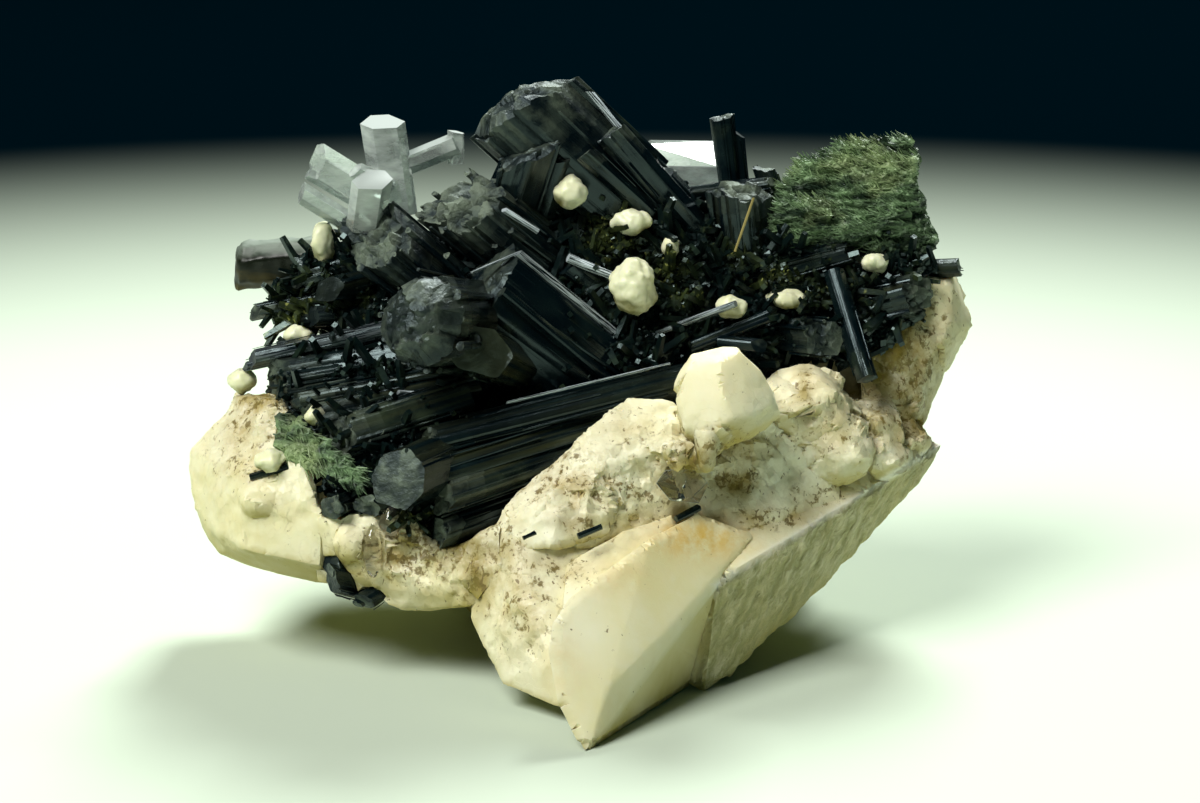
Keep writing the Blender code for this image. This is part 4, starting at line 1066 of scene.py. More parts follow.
def grain_material():
    """The dark mass of tiny crystals: black, with green and yellow crumbs."""
    material, tree, shader = new_material("schorl grains")
    place = object_place(tree)
    crumbs = grain(tree, place, 420.0, 4.0, 0.7)
    patches = grain(tree, place, 130.0, 3.0)
    base = mix(tree, ramp(tree, crumbs, 0.5, 0.7), (0.002, 0.006, 0.006), (0.015, 0.026, 0.014))
    share = product(tree, ramp(tree, patches, 0.54, 0.66), ramp(tree, crumbs, 0.5, 0.6))
    moss = product(tree, attribute(tree, "moss"), ramp(tree, crumbs, 0.36, 0.56))
    share = math_of(tree, "MAXIMUM", product(tree, share, 0.6), moss)
    base = mix(tree, product(tree, share, 0.6), base, (0.085, 0.105, 0.022))
    sparks = product(tree, moss, ramp(tree, grain(tree, place, 1300.0, 2.0), 0.62, 0.68))
    base = mix(tree, sparks, base, (0.55, 0.58, 0.16))
    fill(tree, shader, {
        "Base Color": base,
        "Roughness": 0.28,
        "IOR": SCHORL_IOR,
        "Specular IOR Level": 0.32,
        "Specular Tint": (0.72, 0.96, 0.95, 1.0),
        "Normal": bump(tree, crumbs, 0.15, 0.7),
    })
    return material


def feldspar_material():
    """Cream feldspar, brown in its hollows, with an orange wash and dark crumbs."""
    material, tree, shader = new_material("cream feldspar")
    place = object_place(tree)
    fine = grain(tree, place, 520.0, 5.0, 0.65)
    wander = node(tree, "ShaderNodeTexNoise", {"Vector": place, "Scale": 600.0})
    bent = vector_of(tree, "ADD", place, scaled(tree, wander.outputs["Color"], 1.2 * MM))
    along_ribs = node(tree, "ShaderNodeMapping", {
        "Vector": bent, "Rotation": (0.0, math.radians(32.0), 0.0),
        "Scale": (1.0 / 1500.0, 1.0 / 500.0, 1.0 / 380.0),
    }, vector_type="TEXTURE")
    ridges = grain(tree, along_ribs.outputs["Vector"], 1.0, 4.0, 0.65)
    fill(tree, shader, {
        "Base Color": feldspar_colour(tree, place, bent, fine, ridges),
        "Roughness": ramp(tree, fine, 0.3, 0.7, 0.34, 0.62),
        "Subsurface Weight": 0.25,
        "Subsurface Radius": (1.0, 0.8, 0.5),
        "Subsurface Scale": 1.2 * MM,
        "Normal": feldspar_relief(tree, place, bent, fine, ridges),
    })
    return material


def feldspar_colour(tree, place, bent, fine, ridges):
    """Cream, then each mark over it: orange, brown, dots, painted shade on faces that look down, umber,
    seams, dashes, a painted highlight along the slab's upper edge, and the slab's side darker olive
    between its ribs.
    """
    stain = attribute(tree, "stain")
    clouds = grain(tree, place, 70.0, 4.0)
    specks = grain(tree, place, 900.0, 3.0, 0.7)
    mottle = grain(tree, place, 230.0, 5.0, 0.7)
    base = mix(tree, ramp(tree, clouds, 0.35, 0.65), (0.88, 0.86, 0.66), (0.79, 0.73, 0.42))
    base = mix(tree, ramp(tree, fine, 0.45, 0.75, 0.0, 0.35), base, (0.87, 0.86, 0.68))
    orange = product(tree, attribute(tree, "orange"), ramp(tree, fine, 0.3, 0.6))
    base = mix(tree, orange, base, (0.70, 0.46, 0.10))
    brown = product(tree, stain, ramp(tree, mottle, 0.38, 0.60, 0.12, 0.95))
    base = mix(tree, brown, base, (0.42, 0.30, 0.075))
    limit = math_of(tree, "SUBTRACT", 0.70, product(tree, stain, 0.20))
    dots = ramp(tree, math_of(tree, "SUBTRACT", specks, limit), 0.0, 0.06)
    base = mix(tree, product(tree, dots, 0.85), base, (0.17, 0.12, 0.03))
    # Painted shade: faces that look down turn olive, in cloudy patches
    low = product(tree, attribute(tree, "down"), ramp(tree, clouds, 0.2, 0.7, 0.5, 0.95))
    base = mix(tree, low, base, (0.38, 0.30, 0.03))
    umber = product(tree, attribute(tree, "umber"), ramp(tree, mottle, 0.34, 0.52, 0.3, 0.9))
    base = mix(tree, umber, base, (0.17, 0.13, 0.004))
    seam = node(tree, "ShaderNodeTexVoronoi", {"Vector": bent, "Scale": 520.0},
                feature="DISTANCE_TO_EDGE").outputs["Distance"]
    seams = product(tree, ramp(tree, seam, 0.08, 0.02), ramp(tree, specks, 0.50, 0.58))
    seams = product(tree, seams, ramp(tree, stain, 0.10, 0.45))
    base = mix(tree, product(tree, seams, 0.6), base, (0.22, 0.16, 0.035))
    dashes = grain(tree, stretched(tree, bent, (2100.0, 1900.0, 800.0)), 1.0, 2.0, 0.6)
    limit = math_of(tree, "SUBTRACT", 0.74, product(tree, stain, 0.16))
    dashed = ramp(tree, math_of(tree, "SUBTRACT", dashes, limit), 0.0, 0.03)
    base = mix(tree, product(tree, dashed, 0.85), base, (0.16, 0.11, 0.025))
    # Painted highlight: a pale line along the upper edge of the slab's side
    base = mix(tree, attribute(tree, "rim"), base, (0.95, 0.93, 0.78))
    ribbed = product(tree, attribute(tree, "slab"), ramp(tree, ridges, 0.60, 0.42, 0.25, 0.90))
    return mix(tree, ribbed, base, (0.35, 0.33, 0.12))


def feldspar_relief(tree, place, bent, fine, ridges):
    """Small grain, chips that each lean their own way, the slab's ribs, and rough patches."""
    granular = attribute(tree, "granular")
    slab = attribute(tree, "slab")
    chip = node(tree, "ShaderNodeTexVoronoi", {"Vector": bent, "Scale": 900.0}, feature="F1")
    from_middle = vector_of(tree, "SUBTRACT", bent, chip.outputs["Position"])
    lean = vector_of(tree, "SUBTRACT", chip.outputs["Color"], (0.5, 0.5, 0.5))
    leaned = product(tree, vector_of(tree, "DOT_PRODUCT", from_middle, lean), 900.0)
    normal = bump(tree, fine, 0.12, 0.35)
    normal = bump(tree, product(tree, leaned, granular), 0.9, 0.8, normal)
    normal = bump(tree, product(tree, ridges, slab), 0.9, 0.8, normal)
    rough = product(tree, grain(tree, place, 420.0, 5.0, 0.65),
                    math_of(tree, "ADD", granular, slab))
    return bump(tree, rough, 0.5, 0.6, normal)


def green_material():
    """Fibrous dark green mineral with pale green and yellow threads; painted shade darkens a band of
    its lower part.
    """
    material, tree, shader = new_material("green fibres")
    place = object_place(tree)
    threads = grain(tree, stretched(tree, place, (240.0, 240.0, 900.0)), 1.0, 4.0, 0.7)
    patches = grain(tree, place, 160.0, 4.0)
    base = mix(tree, ramp(tree, threads, 0.40, 0.66), (0.010, 0.028, 0.012), (0.21, 0.33, 0.16))
    base = mix(tree, ramp(tree, patches, 0.52, 0.68, 0.0, 0.7), base, (0.33, 0.42, 0.19))
    # Painted shade: lower down, the mass turns dark green by height
    high = node(tree, "ShaderNodeSeparateXYZ", {"Vector": place}).outputs["Z"]
    dark = product(tree, ramp(tree, high, 0.042, 0.036), ramp(tree, high, 0.028, 0.033))
    base = mix(tree, product(tree, dark, 0.75), base, (0.012, 0.030, 0.014))
    fill(tree, shader, {
        "Base Color": base, "Roughness": 0.55, "Normal": bump(tree, threads, 0.25, 0.7),
    })
    return material


def white_material():
    """Cream drops, with painted shade in brown and green on their lower parts and undersides."""
    material, tree, shader = new_material("cream drops")
    place = object_place(tree)
    painted_underside_shade = attribute(tree, "painted_underside_shade")
    clouds = grain(tree, place, 300.0, 4.0)
    base = mix(tree, ramp(tree, clouds, 0.4, 0.7, 0.0, 0.5), (0.84, 0.85, 0.60), (0.72, 0.71, 0.36))
    # Painted shade: brown and green on the lower parts and undersides, in cloudy patches
    share = product(tree, painted_underside_shade, ramp(tree, clouds, 0.35, 0.6))
    base = mix(tree, share, base, (0.22, 0.20, 0.055))
    fill(tree, shader, {
        "Base Color": base,
        "Roughness": 0.4,
        "Subsurface Weight": 0.25,
        "Subsurface Radius": (0.85, 0.95, 0.5),
        "Subsurface Scale": 1.0 * MM,
        "Normal": bump(tree, clouds, 0.15, 0.4),
    })
    return material


def quartz_material(name, tint, clarity, veiled, frost):
    """Clear to frosted crystal with cloudy veils."""
    material, tree, shader = new_material(name)
    place = object_place(tree)
    veils = grain(tree, stretched(tree, place, (160.0, 160.0, 420.0)), 1.0, 4.0, 0.6)
    fill(tree, shader, {
        "Base Color": (*tint, 1.0),
        "Roughness": ramp(tree, veils, 0.35, 0.65, frost * 0.4, frost),
        "Transmission Weight": ramp(tree, veils, 0.4, 0.7, clarity, veiled),
        "IOR": QUARTZ_IOR,
        "Normal": bump(tree, veils, 0.12, 0.3),
    })
    return material


def smoky_material():
    """Smoky crystal with a frosted skin, nearly black and brown below; its upper part is painted grey
    as a highlight.
    """
    material, tree, shader = new_material("smoky quartz")
    place = object_place(tree)
    clouds = grain(tree, stretched(tree, place, (140.0, 140.0, 420.0)), 1.0, 4.0, 0.6)
    height = node(tree, "ShaderNodeSeparateXYZ", {"Vector": place}).outputs["Z"]
    level = math_of(tree, "ADD", height, product(tree, clouds, 0.006))
    # Painted highlight: the upper part turns grey by height
    base = mix(tree, ramp(tree, level, 0.0405, 0.0425), (0.008, 0.011, 0.006), (0.20, 0.24, 0.20))
    brown = product(tree, ramp(tree, level, 0.0415, 0.0385), ramp(tree, clouds, 0.46, 0.60))
    base = mix(tree, brown, base, (0.075, 0.060, 0.014))
    fill(tree, shader, {
        "Base Color": base,
        "Roughness": ramp(tree, clouds, 0.35, 0.65, 0.25, 0.6),
        "Transmission Weight": 0.05,
        "IOR": QUARTZ_IOR,
        "Specular IOR Level": 0.2,
        "Normal": bump(tree, clouds, 0.2, 0.3),
    })
    return material


def frosted_material():
    """The worn edges and upward faces of the quartz, pale grey: partly frost, partly a painted
    highlight.
    """
    material, tree, shader = new_material("frosted edge")
    fill(tree, shader, {"Base Color": (0.30, 0.34, 0.32, 1.0), "Roughness": 0.6})
    return material


def scatter_group():
    """A Geometry Nodes group that sets small cones on a surface, denser where it says."""
    group = bpy.data.node_groups.new("scatter slivers", "GeometryNodeTree")
    sockets = {
        "Geometry": "Geometry", "Density": "Float", "Width": "Float", "Length": "Float",
        "Point": "Float", "Lean": "Float", "Flow": "Vector", "Seed": "Int",
        "Material": "Material",
    }
    for name, kind in sockets.items():
        group.interface.new_socket(name, in_out="INPUT", socket_type=f"NodeSocket{kind}")
    group.interface.new_socket("Geometry", in_out="OUTPUT", socket_type="NodeSocketGeometry")
    given = group.nodes.new("NodeGroupInput").outputs
    weight = node(group, "GeometryNodeInputNamedAttribute", {"Name": "scatter"},
                  data_type="FLOAT")
    places = node(group, "GeometryNodeDistributePointsOnFaces", {
        "Mesh": given["Geometry"], "Seed": given["Seed"],
        "Density": product(group, given["Density"], weight.outputs[0]),
    })
    shift = node(group, "FunctionNodeRandomValue", {0: (-1.0, -1.0, -1.0), 1: (1.0, 1.0, 1.0)},
                 data_type="FLOAT_VECTOR")
    lean = scaled(group, shift.outputs[0], given["Lean"])
    tilted = vector_of(group, "ADD", places.outputs["Normal"], lean)
    flowing = vector_of(group, "ADD", tilted, given["Flow"])
    turn = node(group, "FunctionNodeAlignRotationToVector", {"Vector": flowing}, axis="Z")
    cone = node(group, "GeometryNodeMeshCone", {
        "Vertices": 4, "Radius Top": given["Point"], "Radius Bottom": given["Width"],
        "Depth": given["Length"],
    })
    size = node(group, "FunctionNodeRandomValue", {2: 0.35, 3: 1.3}, data_type="FLOAT")
    set_down = node(group, "GeometryNodeInstanceOnPoints", {
        "Points": places.outputs["Points"], "Instance": cone.outputs["Mesh"],
        "Rotation": turn.outputs[0], "Scale": size.outputs[1],
    })
    real = node(group, "GeometryNodeRealizeInstances", {"Geometry": set_down.outputs[0]})
    painted = node(group, "GeometryNodeSetMaterial", {
        "Geometry": real.outputs[0], "Material": given["Material"],
    })
    node(group, "NodeGroupOutput", {"Geometry": painted.outputs[0]})
    return group


def scattered(name, surface, group, material, values):
    """A plain mesh of slivers on a surface, made by the scatter group."""
    piece = linked(name, surface.data.copy())
    modifier = piece.modifiers.new("slivers", "NODES")
    modifier.node_group = group
    values = dict(values, Material=material)
    for item in group.interface.items_tree:
        if item.in_out == "INPUT" and item.name in values:
            modifier[item.identifier] = values[item.name]
    apply_modifiers(piece)
    return piece


def joined_piece(name, pieces):
    """One object of several, whose materials and attributes stay."""
    bpy.ops.object.select_all(action="DESELECT")
    for piece in pieces:
        piece.select_set(True)
    bpy.context.view_layer.objects.active = pieces[0]
    bpy.ops.object.join()
    pieces[0].name = name
    return pieces[0]


def hand_over(piece, slot, *nodes):
    """Hangs a finished piece under the root body and hides the solids that it stands for."""
    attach(piece, "root")
    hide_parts(*nodes)


class CrystalSettings(bpy.types.PropertyGroup):
    detail: bpy.props.FloatProperty(
        name="Detail", description="Places round a crystal in each millimetre", default=3.6
    )
    groove: bpy.props.FloatProperty(
        name="Groove", description="Depth of the grooves along a crystal, millimetres", default=0.2
    )
    jag: bpy.props.FloatProperty(
        name="Jag", description="Height of the steps on a rough end, share of the radius", default=0.5
    )
    cells: bpy.props.FloatProperty(
        name="Cells", description="Columns on each square millimetre of an end", default=1.8
    )


class MatrixSettings(bpy.types.PropertyGroup):
    fineness: bpy.props.FloatProperty(
        name="Fineness", description="Share of the remesh grid that the feldspar fills", default=0.95
    )
    grow: bpy.props.FloatProperty(
        name="Grow", description="How far the feldspar closes up to its crystals, millimetres",
        default=0.3,
    )
    waves: bpy.props.FloatProperty(
        name="Waves", description="Height of the broad waves, millimetres", default=0.35
    )
    grains: bpy.props.FloatProperty(
        name="Grains", description="Height of the grains, millimetres", default=0.45
    )
    chips: bpy.props.FloatProperty(
        name="Chips", description="How strongly the chipped steps show", default=0.85
    )
    ribs: bpy.props.FloatProperty(
        name="Ribs", description="Height of the ribs on the slab's side, millimetres", default=0.3
    )


class FibreSettings(bpy.types.PropertyGroup):
    density: bpy.props.FloatProperty(
        name="Density", description="Fibres on a square millimetre of green mineral", default=8.0
    )
    length: bpy.props.FloatProperty(
        name="Length", description="Length of a fibre, millimetres", default=0.9
    )
    grain_density: bpy.props.FloatProperty(
        name="Grain density", description="Tiny crystals on a square millimetre", default=2.6
    )
    shard_density: bpy.props.FloatProperty(
        name="Shard density", description="Small long crystals on a square millimetre", default=0.5
    )


class StageSettings(bpy.types.PropertyGroup):
    lens: bpy.props.FloatProperty(
        name="Lens", description="Focal length of the camera, millimetres", default=80.0
    )
    back_light: bpy.props.FloatProperty(
        name="Back light", description="Power of the light above and behind", default=19.0, unit="POWER"
    )
    front_light: bpy.props.FloatProperty(
        name="Front light", description="Power of the soft light in front", default=18.5, unit="POWER"
    )


class SPECIMEN_OT_crystals(bpy.types.Operator):
    """Grow the black crystals of the cluster"""

    bl_idname = "specimen.crystals"
    bl_label = "Black crystals"

    def execute(self, context):
        settings = context.scene.crystal_settings
        material = schorl_material()
        for name, table in (("upper", UPPER), ("middle", MIDDLE_ONES), ("left", LEFT_ONES)):
            rods = []
            for crystal_name, crystal in table.items():
                rods.extend(crystal_rods(crystal_name, crystal))
            piece = rods_piece(f"crystals_{name}", rods, settings, material)
            hand_over(piece, "schorl", "tourmaline_cluster")
        rods = []
        for crystal_name, ends in BACK_ONES.items():
            rods.extend(back_rods(crystal_name, ends))
        piece = rods_piece("crystals_back", rods, settings, material)
        hand_over(piece, "schorl", "tourmaline_cluster")
        return {"FINISHED"}


class SPECIMEN_OT_lone_crystals(bpy.types.Operator):
    """Grow the black crystals that stand by themselves, and the needles"""

    bl_idname = "specimen.lone_crystals"
    bl_label = "Lone crystals"

    def execute(self, context):
        settings = context.scene.crystal_settings
        material = bpy.data.materials["schorl crystal"]
        for node_name, table in LONE_ONES.items():
            rods = []
            for crystal_name, crystal in table.items():
                rods.extend(crystal_rods(crystal_name, crystal))
            piece = rods_piece(f"{node_name}_look", rods, settings, material)
            hand_over(piece, "schorl", node_name)
        for name, (foot, tip, radius) in NEEDLES.items():
            start = at(*foot)
            end = at(*tip)
            axis = (end - start).normalized()
            side = axis.cross(VIEW_BACK).normalized() * radius * MM
            needle = Rod(
                start, end, side, axis.cross(side), axis, sides=6, seed=seed_of(name),
                bulge=0.0, rough=0.5, olive=0.3,
            )
            piece = rods_piece(f"{name}_look", [needle], settings, material)
            hand_over(piece, "schorl", name)
        return {"FINISHED"}


class SPECIMEN_OT_groundmass(bpy.types.Operator):
    """Make the dark mass of tiny crystals between the large ones"""

    bl_idname = "specimen.groundmass"
    bl_label = "Groundmass"

    def execute(self, context):
        settings = context.scene.fibre_settings
        material = grain_material()
        middle = [at(*place) for place in CORE_FRONT] + [spot(*place) for place in CORE_BACK]
        hulls = [hull_piece("groundmass", middle)]
        for places in (CORE_LEFT, CORE_UPPER_LEFT, CORE_RIGHT):
            hulls.append(hull_piece("groundmass", [at(*place) for place in places]))
        core = remeshed(joined_piece("groundmass", hulls), material, voxel=0.7, smooth=2)
        places = mesh_points(core.data)
        rise = noise_field(places, size=3.0, seed=3.0, octaves=3) * 1.1
        raised(core.data, places, rise + facet_field(places, size=1.6, seed=5, tilt=0.5))
        facing = -(mesh_normals(core.data) @ np.array(VIEW_BACK))
        add_attribute(core.data, "scatter", np.clip(0.45 + facing * 1.5, 0.12, 1.0))
        across, up, _ = as_seen(mesh_points(core.data))
        add_attribute(core.data, "moss", spot_field(across, up, MOSS_SPOTS))
        group = scatter_group()
        small = scattered("grains", core, group, material, {
            "Density": settings.grain_density / MM ** 2, "Width": 0.24 * MM, "Length": 0.5 * MM,
            "Point": 0.2 * MM, "Lean": 1.3, "Seed": 3,
        })
        shards = scattered("shards", core, group, material, {
            "Density": settings.shard_density / MM ** 2, "Width": 0.42 * MM, "Length": 2.6 * MM,
            "Point": 0.30 * MM, "Lean": 1.6, "Flow": (-0.4, -0.3, 0.5), "Seed": 8,
        })
        piece = joined_piece("groundmass", [core, small, shards])
        hand_over(piece, "schorl", "tourmaline_cluster")
        return {"FINISHED"}


def break_feldspar(piece, settings):
    """Breaks the surface of the matrix in blocks and chips, with ribs on the slab's side."""
    mesh = piece.data
    points = mesh_points(mesh)
    across, up, back = as_seen(points)
    granular = granular_share(across, up, back)
    blocky = np.maximum(spot_field(across, up, BLOCK_SPOTS), granular * 0.8)
    low = points[:, 2] < REST_BAND * MM
    blocky = np.where(low, 0.0, np.clip(blocky, 0.0, 1.0))
    moved = flattened(mesh, points, size=BLOCK_SIZE, seed=11, share=blocky * 0.9)
    move_points(mesh, moved)
    along = (across * 0.53 + up * 0.85) * 0.3
    beside = (up * 0.53 - across * 0.85) * 1.1
    slope = np.stack([along, beside, back * 0.6], 1) * MM
    ribs = noise_field(slope, size=1.0, seed=4.0, octaves=3) * slab_share(across, up)
    waves = noise_field(points, size=6.0, seed=1.0) * settings.waves * granular
    grains = noise_field(points, size=1.3, seed=2.0, octaves=3) * granular * settings.grains
    rise = settings.grow + waves + ribs * settings.ribs + grains
    moved = raised(mesh, moved, np.where(low, 0.0, rise))
    chipped = np.where(low, 0.0, np.clip(granular * 1.2, 0.0, 1.0)) * settings.chips
    moved = flattened(mesh, moved, size=CHIP_SIZE, seed=12, share=chipped)
    moved[:, 2] = np.maximum(moved[:, 2], 0.0)
    move_points(mesh, moved)


def granular_share(across, up, back):
    """One where the feldspar is granular, none where it is smooth; the rear is between."""
    return np.where(back > REAR_FROM, 0.7, spot_field(across, up, GRAIN_SPOTS))


def drip_piece(material):
    """The small drip that hangs below the knob."""
    rings = []
    for across, up, back, radius in DRIP:
        for turn in range(10):
            angle = math.tau * turn / 10.0
            aside = across + radius * math.cos(angle)
            rings.append(at(aside, up, back + radius * math.sin(angle)))
    return remeshed(hull_piece("drip", rings), material, voxel=0.25, smooth=2)


def stain_feldspar(mesh):
    """Says where the matrix is stained, orange, granular or ribbed, where a highlight is painted along
    the slab's upper edge, and where shade is painted on faces that look down.
    """
    places = mesh_points(mesh)
    across, up, back = as_seen(places)
    granular = granular_share(across, up, back)
    deep = hollows(mesh, places, 14)
    in_hollows = np.clip(deep * 2.2, 0.0, 0.9) * (0.35 + 0.65 * granular)
    stain = spot_field(across, up, BROWN_SPOTS) + in_hollows
    patches = noise_field(places, size=5.0, seed=21.0, octaves=3)
    stain = np.maximum(stain, granular * np.clip(0.25 + patches * 0.9, 0.0, 0.75))
    stain = np.where(back > REAR_FROM, np.clip(deep * 2.0 + 0.15, 0.0, 0.8), stain)
    # A painted highlight along the upper edge of the slab's side
    rim = np.exp(-((above_slab_edge(across, up) - 0.15) / 0.4) ** 2)
    rim = rim * (across > 11.4) * (back < REAR_FROM)
    # Faces that look down, on which the material paints olive shade
    down = np.clip(0.25 - mesh_normals(mesh)[:, 2] * 1.3, 0.0, 1.0)
    add_attribute(mesh, "stain", np.clip(stain, 0.0, 1.0))
    add_attribute(mesh, "orange", spot_field(across, up, ORANGE_SPOTS))
    add_attribute(mesh, "umber", spot_field(across, up, UMBER_SPOTS))
    add_attribute(mesh, "granular", granular)
    add_attribute(mesh, "slab", slab_share(across, up))
    add_attribute(mesh, "rim", rim)
    add_attribute(mesh, "down", down)


class SPECIMEN_OT_feldspar(bpy.types.Operator):
    """Shape the cream feldspar matrix from its solid"""

    bl_idname = "specimen.feldspar"
    bl_label = "Feldspar"

    def execute(self, context):
        settings = context.scene.matrix_settings
        material = feldspar_material()
        piece = crisp_copy("feldspar_look", "feldspar_matrix", material, settings.fineness)
        break_feldspar(piece, settings)
        thinned(piece, FELDSPAR_TRIANGLES)
        piece = joined_piece("feldspar_look", [piece, drip_piece(material)])
        stain_feldspar(piece.data)
        shade(piece.data, 28.0)
        hand_over(piece, "feldspar", "feldspar_matrix")
        return {"FINISHED"}


class SPECIMEN_OT_green(bpy.types.Operator):
    """Make the two green fibrous masses"""

    bl_idname = "specimen.green"
    bl_label = "Green masses"

    def execute(self, context):
        settings = context.scene.fibre_settings
        material = green_material()
        group = bpy.data.node_groups["scatter slivers"]
        flows = {"green_mass_right": (-2.4, 0.1, 0.9), "green_mass_left": (1.8, -0.3, -1.6)}
        for node_name, flow in flows.items():
            base = solid_copy(f"{node_name}_look", node_name, material, voxel=0.36, smooth=1)
            places = mesh_points(base.data)
            long_places = places * np.array([0.45, 1.0, 1.9])
            folds = 1.0 - np.abs(noise_field(long_places, size=1.7, seed=7.0, octaves=3)) * 2.2
            lumps = noise_field(places, size=4.0, seed=8.0)
            raised(base.data, places, folds * 0.75 - 0.2 + lumps * 0.9)
            add_attribute(base.data, "scatter", np.ones(len(places)))
            fibres = scattered("fibres", base, group, material, {
                "Density": settings.density / MM ** 2, "Width": 0.09 * MM,
                "Length": settings.length * MM, "Point": 0.03 * MM, "Lean": 1.1,
                "Flow": flow, "Seed": 5,
            })
            piece = joined_piece(f"{node_name}_look", [base, fibres])
            hand_over(piece, "green", node_name)
        return {"FINISHED"}


class SPECIMEN_OT_quartz(bpy.types.Operator):
    """Finish the quartz crystals"""

    bl_idname = "specimen.quartz"
    bl_label = "Quartz"

    def execute(self, context):
        clear = quartz_material("clear quartz", (0.99, 0.97, 0.86), 1.0, 0.96, 0.03)
        milky = quartz_material("milky quartz", (0.70, 0.77, 0.73), 0.8, 0.28, 0.26)
        smoky = smoky_material()
        frost = frosted_material()
        prisms = {"quartz_group": milky, "quartz_pale_back": milky, "quartz_clear": clear}
        for node_name, material in prisms.items():
            piece = welded_copy(f"{node_name}_look", node_name)
            paint(piece, material, frost)
            wear_edges(piece, 0.2 if node_name == "quartz_group" else 0.12)
            # Faces that look up get the pale frosted finish, partly a painted highlight on the tops
            for face in piece.data.polygons:
                if node_name != "quartz_pale_back" and face.normal.z > FROSTED_ABOVE:
                    face.material_index = 1
            hand_over(piece, "quartz", node_name)
        rounded = {"quartz_smoky": smoky, "glass_drop_round": clear, "glass_drop_tall": clear}
        for node_name, material in rounded.items():
            piece = welded_copy(f"{node_name}_look", node_name)
            remeshed(piece, material, voxel=0.18, smooth=12)
            places = mesh_points(piece.data)
            rise = noise_field(places, size=2.4, seed=13.0) * 0.22
            raised(piece.data, places, rise + facet_field(places, size=1.8, seed=6, tilt=0.03))
            shade(piece.data, 30.0)
            hand_over(piece, "smoky" if node_name == "quartz_smoky" else "quartz", node_name)
        return {"FINISHED"}


def wear_edges(piece, width):
    """Rounds the edges by the width in millimetres and gives them the second material."""
    edge = piece.modifiers.new("edge", "BEVEL")
    edge.width = width * MM
    edge.segments = 2
    edge.limit_method = "ANGLE"
    edge.material = 1
    apply_modifiers(piece)


class SPECIMEN_OT_blobs(bpy.types.Operator):
    """Make the cream drops"""

    bl_idname = "specimen.blobs"
    bl_label = "Cream drops"

    def execute(self, context):
        material = white_material()
        names = [name for name in sorted(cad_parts) if name.startswith("blob_")]
        for name in names:
            piece = solid_copy(f"{name}_look", name, material, voxel=0.2, smooth=3)
            mesh = piece.data
            places = mesh_points(mesh)
            ways = mesh_normals(mesh)
            lumps = noise_field(places, size=1.5, seed=9.0, octaves=3)
            raised(mesh, places, 0.15 + lumps * 0.34)
            high = (places[:, 2] - places[:, 2].min()) / np.ptp(places[:, 2])
            # How low and how downward each place faces, where shade is painted
            painted_underside_shade = np.clip(1.15 - high * 2.0 - ways[:, 2] * 0.6, 0.0, 1.0)
            add_attribute(mesh, "painted_underside_shade", painted_underside_shade)
            mesh.shade_smooth()
            hand_over(piece, "white", name)
        return {"FINISHED"}


class SPECIMEN_OT_stage(bpy.types.Operator):
    """Set the floor, the lights and the camera"""

    bl_idname = "specimen.stage"
    bl_label = "Stage"

    def execute(self, context):
        settings = context.scene.stage_settings
        floor = make_floor()
        lights = [
            area_light("back", (0.20, 0.72, 0.84), 0.32, settings.back_light, (0.95, 1.0, 0.96)),
            area_light("left", (-0.56, -0.44, 1.0), 0.60, settings.front_light, (1.0, 1.0, 0.95)),
        ]
        world = bpy.data.worlds.new("studio")
        world.use_nodes = True
        sky = world.node_tree.nodes["Background"]
        sky.inputs[0].default_value = (0.02, 0.09, 0.11, 1.0)
        sky.inputs[1].default_value = 0.16
        context.scene.view_settings.view_transform = "Standard"
        context.scene.world = world
        camera = make_camera(settings.lens)
        return {"FINISHED"}


def make_floor():
    """A pale floor with a painted pool of light round the specimen, falling into the dark further out.
    """
    bpy.ops.mesh.primitive_plane_add(size=FLOOR_WIDTH, location=(0.0, 0.0, 0.0))
    floor = bpy.context.object
    floor.name = "floor"
    material, tree, shader = new_material("floor")
    place = object_place(tree)
    far = node(tree, "ShaderNodeVectorMath", {0: place}, operation="LENGTH").outputs["Value"]
    share = node(tree, "ShaderNodeMapRange", {
        "Value": far, "From Min": FLOOR_PALE_TO, "From Max": FLOOR_DARK_FROM, "To Min": 0.0,
        "To Max": 1.0,
    }, interpolation_type="SMOOTHSTEP").outputs["Result"]
    # Painted pool of light: the floor colour falls from pale to nearly black away from the middle
    pale = mix(tree, share, (0.52, 0.595, 0.49), (0.0, 0.002, 0.0035))
    fill(tree, shader, {"Base Color": pale, "Roughness": 0.7, "Specular IOR Level": 0.0})
    floor.data.materials.append(material)
    return floor


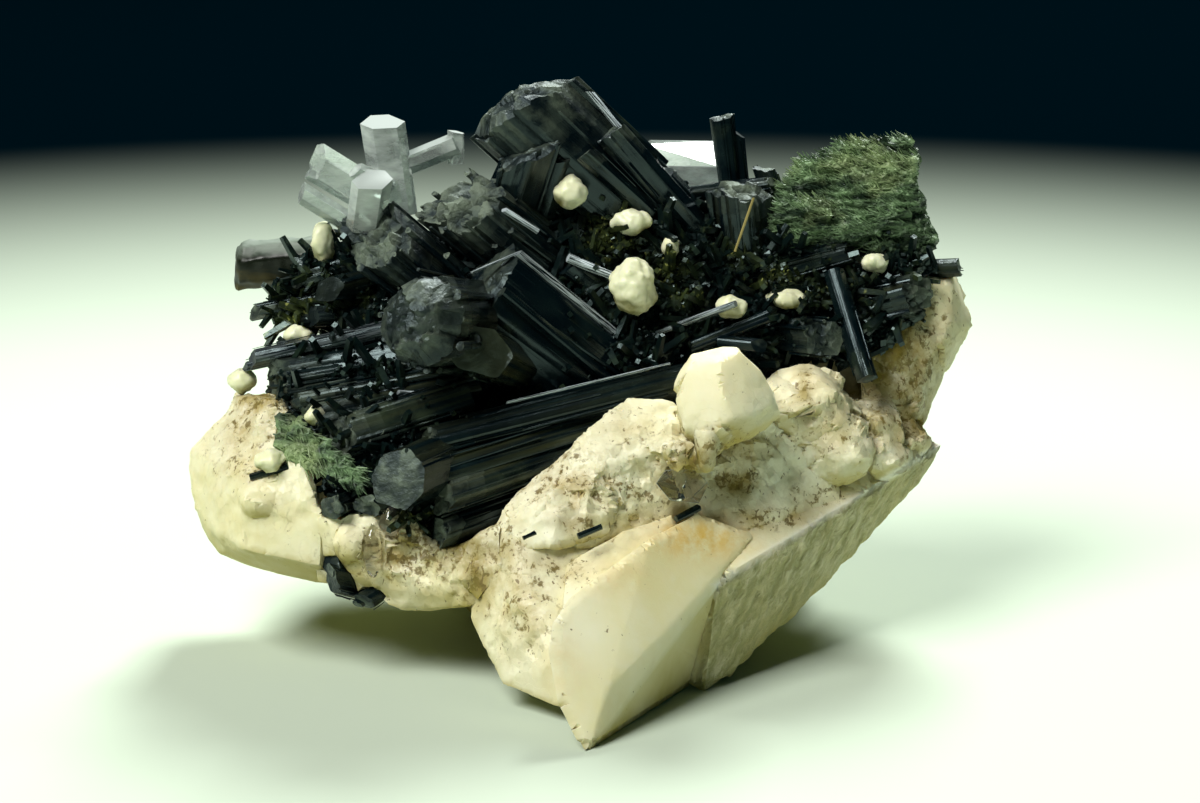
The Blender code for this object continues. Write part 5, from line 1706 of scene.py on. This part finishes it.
def area_light(name, place, size, power, colour):
    """A square soft light that looks at the specimen; its place is in metres."""
    data = bpy.data.lights.new(name, "AREA")
    data.energy = power
    data.size = size
    data.color = colour
    light = linked(name, data)
    light.location = place
    light.rotation_euler = (MIDDLE - Vector(place)).to_track_quat("-Z", "Y").to_euler()
    light.visible_camera = False
    return light


def make_camera(lens):
    """The camera at the height and distance of the photograph's view."""
    data = bpy.data.cameras.new("camera")
    data.lens = lens
    data.sensor_width = 36.0
    camera = linked("camera", data)
    camera.location = MIDDLE - VIEW_BACK * EYE_DISTANCE * MM
    camera.rotation_euler = VIEW_BACK.to_track_quat("-Z", "Y").to_euler()
    bpy.context.scene.camera = camera
    return camera


class SPECIMEN_PT_panel(bpy.types.Panel):
    """Lists the steps that make the specimen"""

    bl_label = "Specimen"
    bl_idname = "SPECIMEN_PT_panel"
    bl_space_type = "VIEW_3D"
    bl_region_type = "UI"
    bl_category = "Specimen"

    def draw(self, context):
        for step in STEPS:
            self.layout.operator(step.bl_idname)


STEPS = (
    SPECIMEN_OT_crystals,
    SPECIMEN_OT_lone_crystals,
    SPECIMEN_OT_groundmass,
    SPECIMEN_OT_feldspar,
    SPECIMEN_OT_green,
    SPECIMEN_OT_quartz,
    SPECIMEN_OT_blobs,
    SPECIMEN_OT_stage,
)
SETTINGS = {
    "crystal_settings": CrystalSettings,
    "matrix_settings": MatrixSettings,
    "fibre_settings": FibreSettings,
    "stage_settings": StageSettings,
}


def register():
    for kind in (*SETTINGS.values(), *STEPS, SPECIMEN_PT_panel):
        bpy.utils.register_class(kind)
    for name, kind in SETTINGS.items():
        setattr(bpy.types.Scene, name, bpy.props.PointerProperty(type=kind))


def unregister():
    for name in SETTINGS:
        delattr(bpy.types.Scene, name)
    for kind in (SPECIMEN_PT_panel, *reversed(STEPS), *SETTINGS.values()):
        bpy.utils.unregister_class(kind)


def main():
    """Runs every step in turn."""
    register()
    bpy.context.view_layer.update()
    for step in STEPS:
        area, name = step.bl_idname.split(".")
        getattr(getattr(bpy.ops, area), name)()


if __name__ == "__main__":
    main()
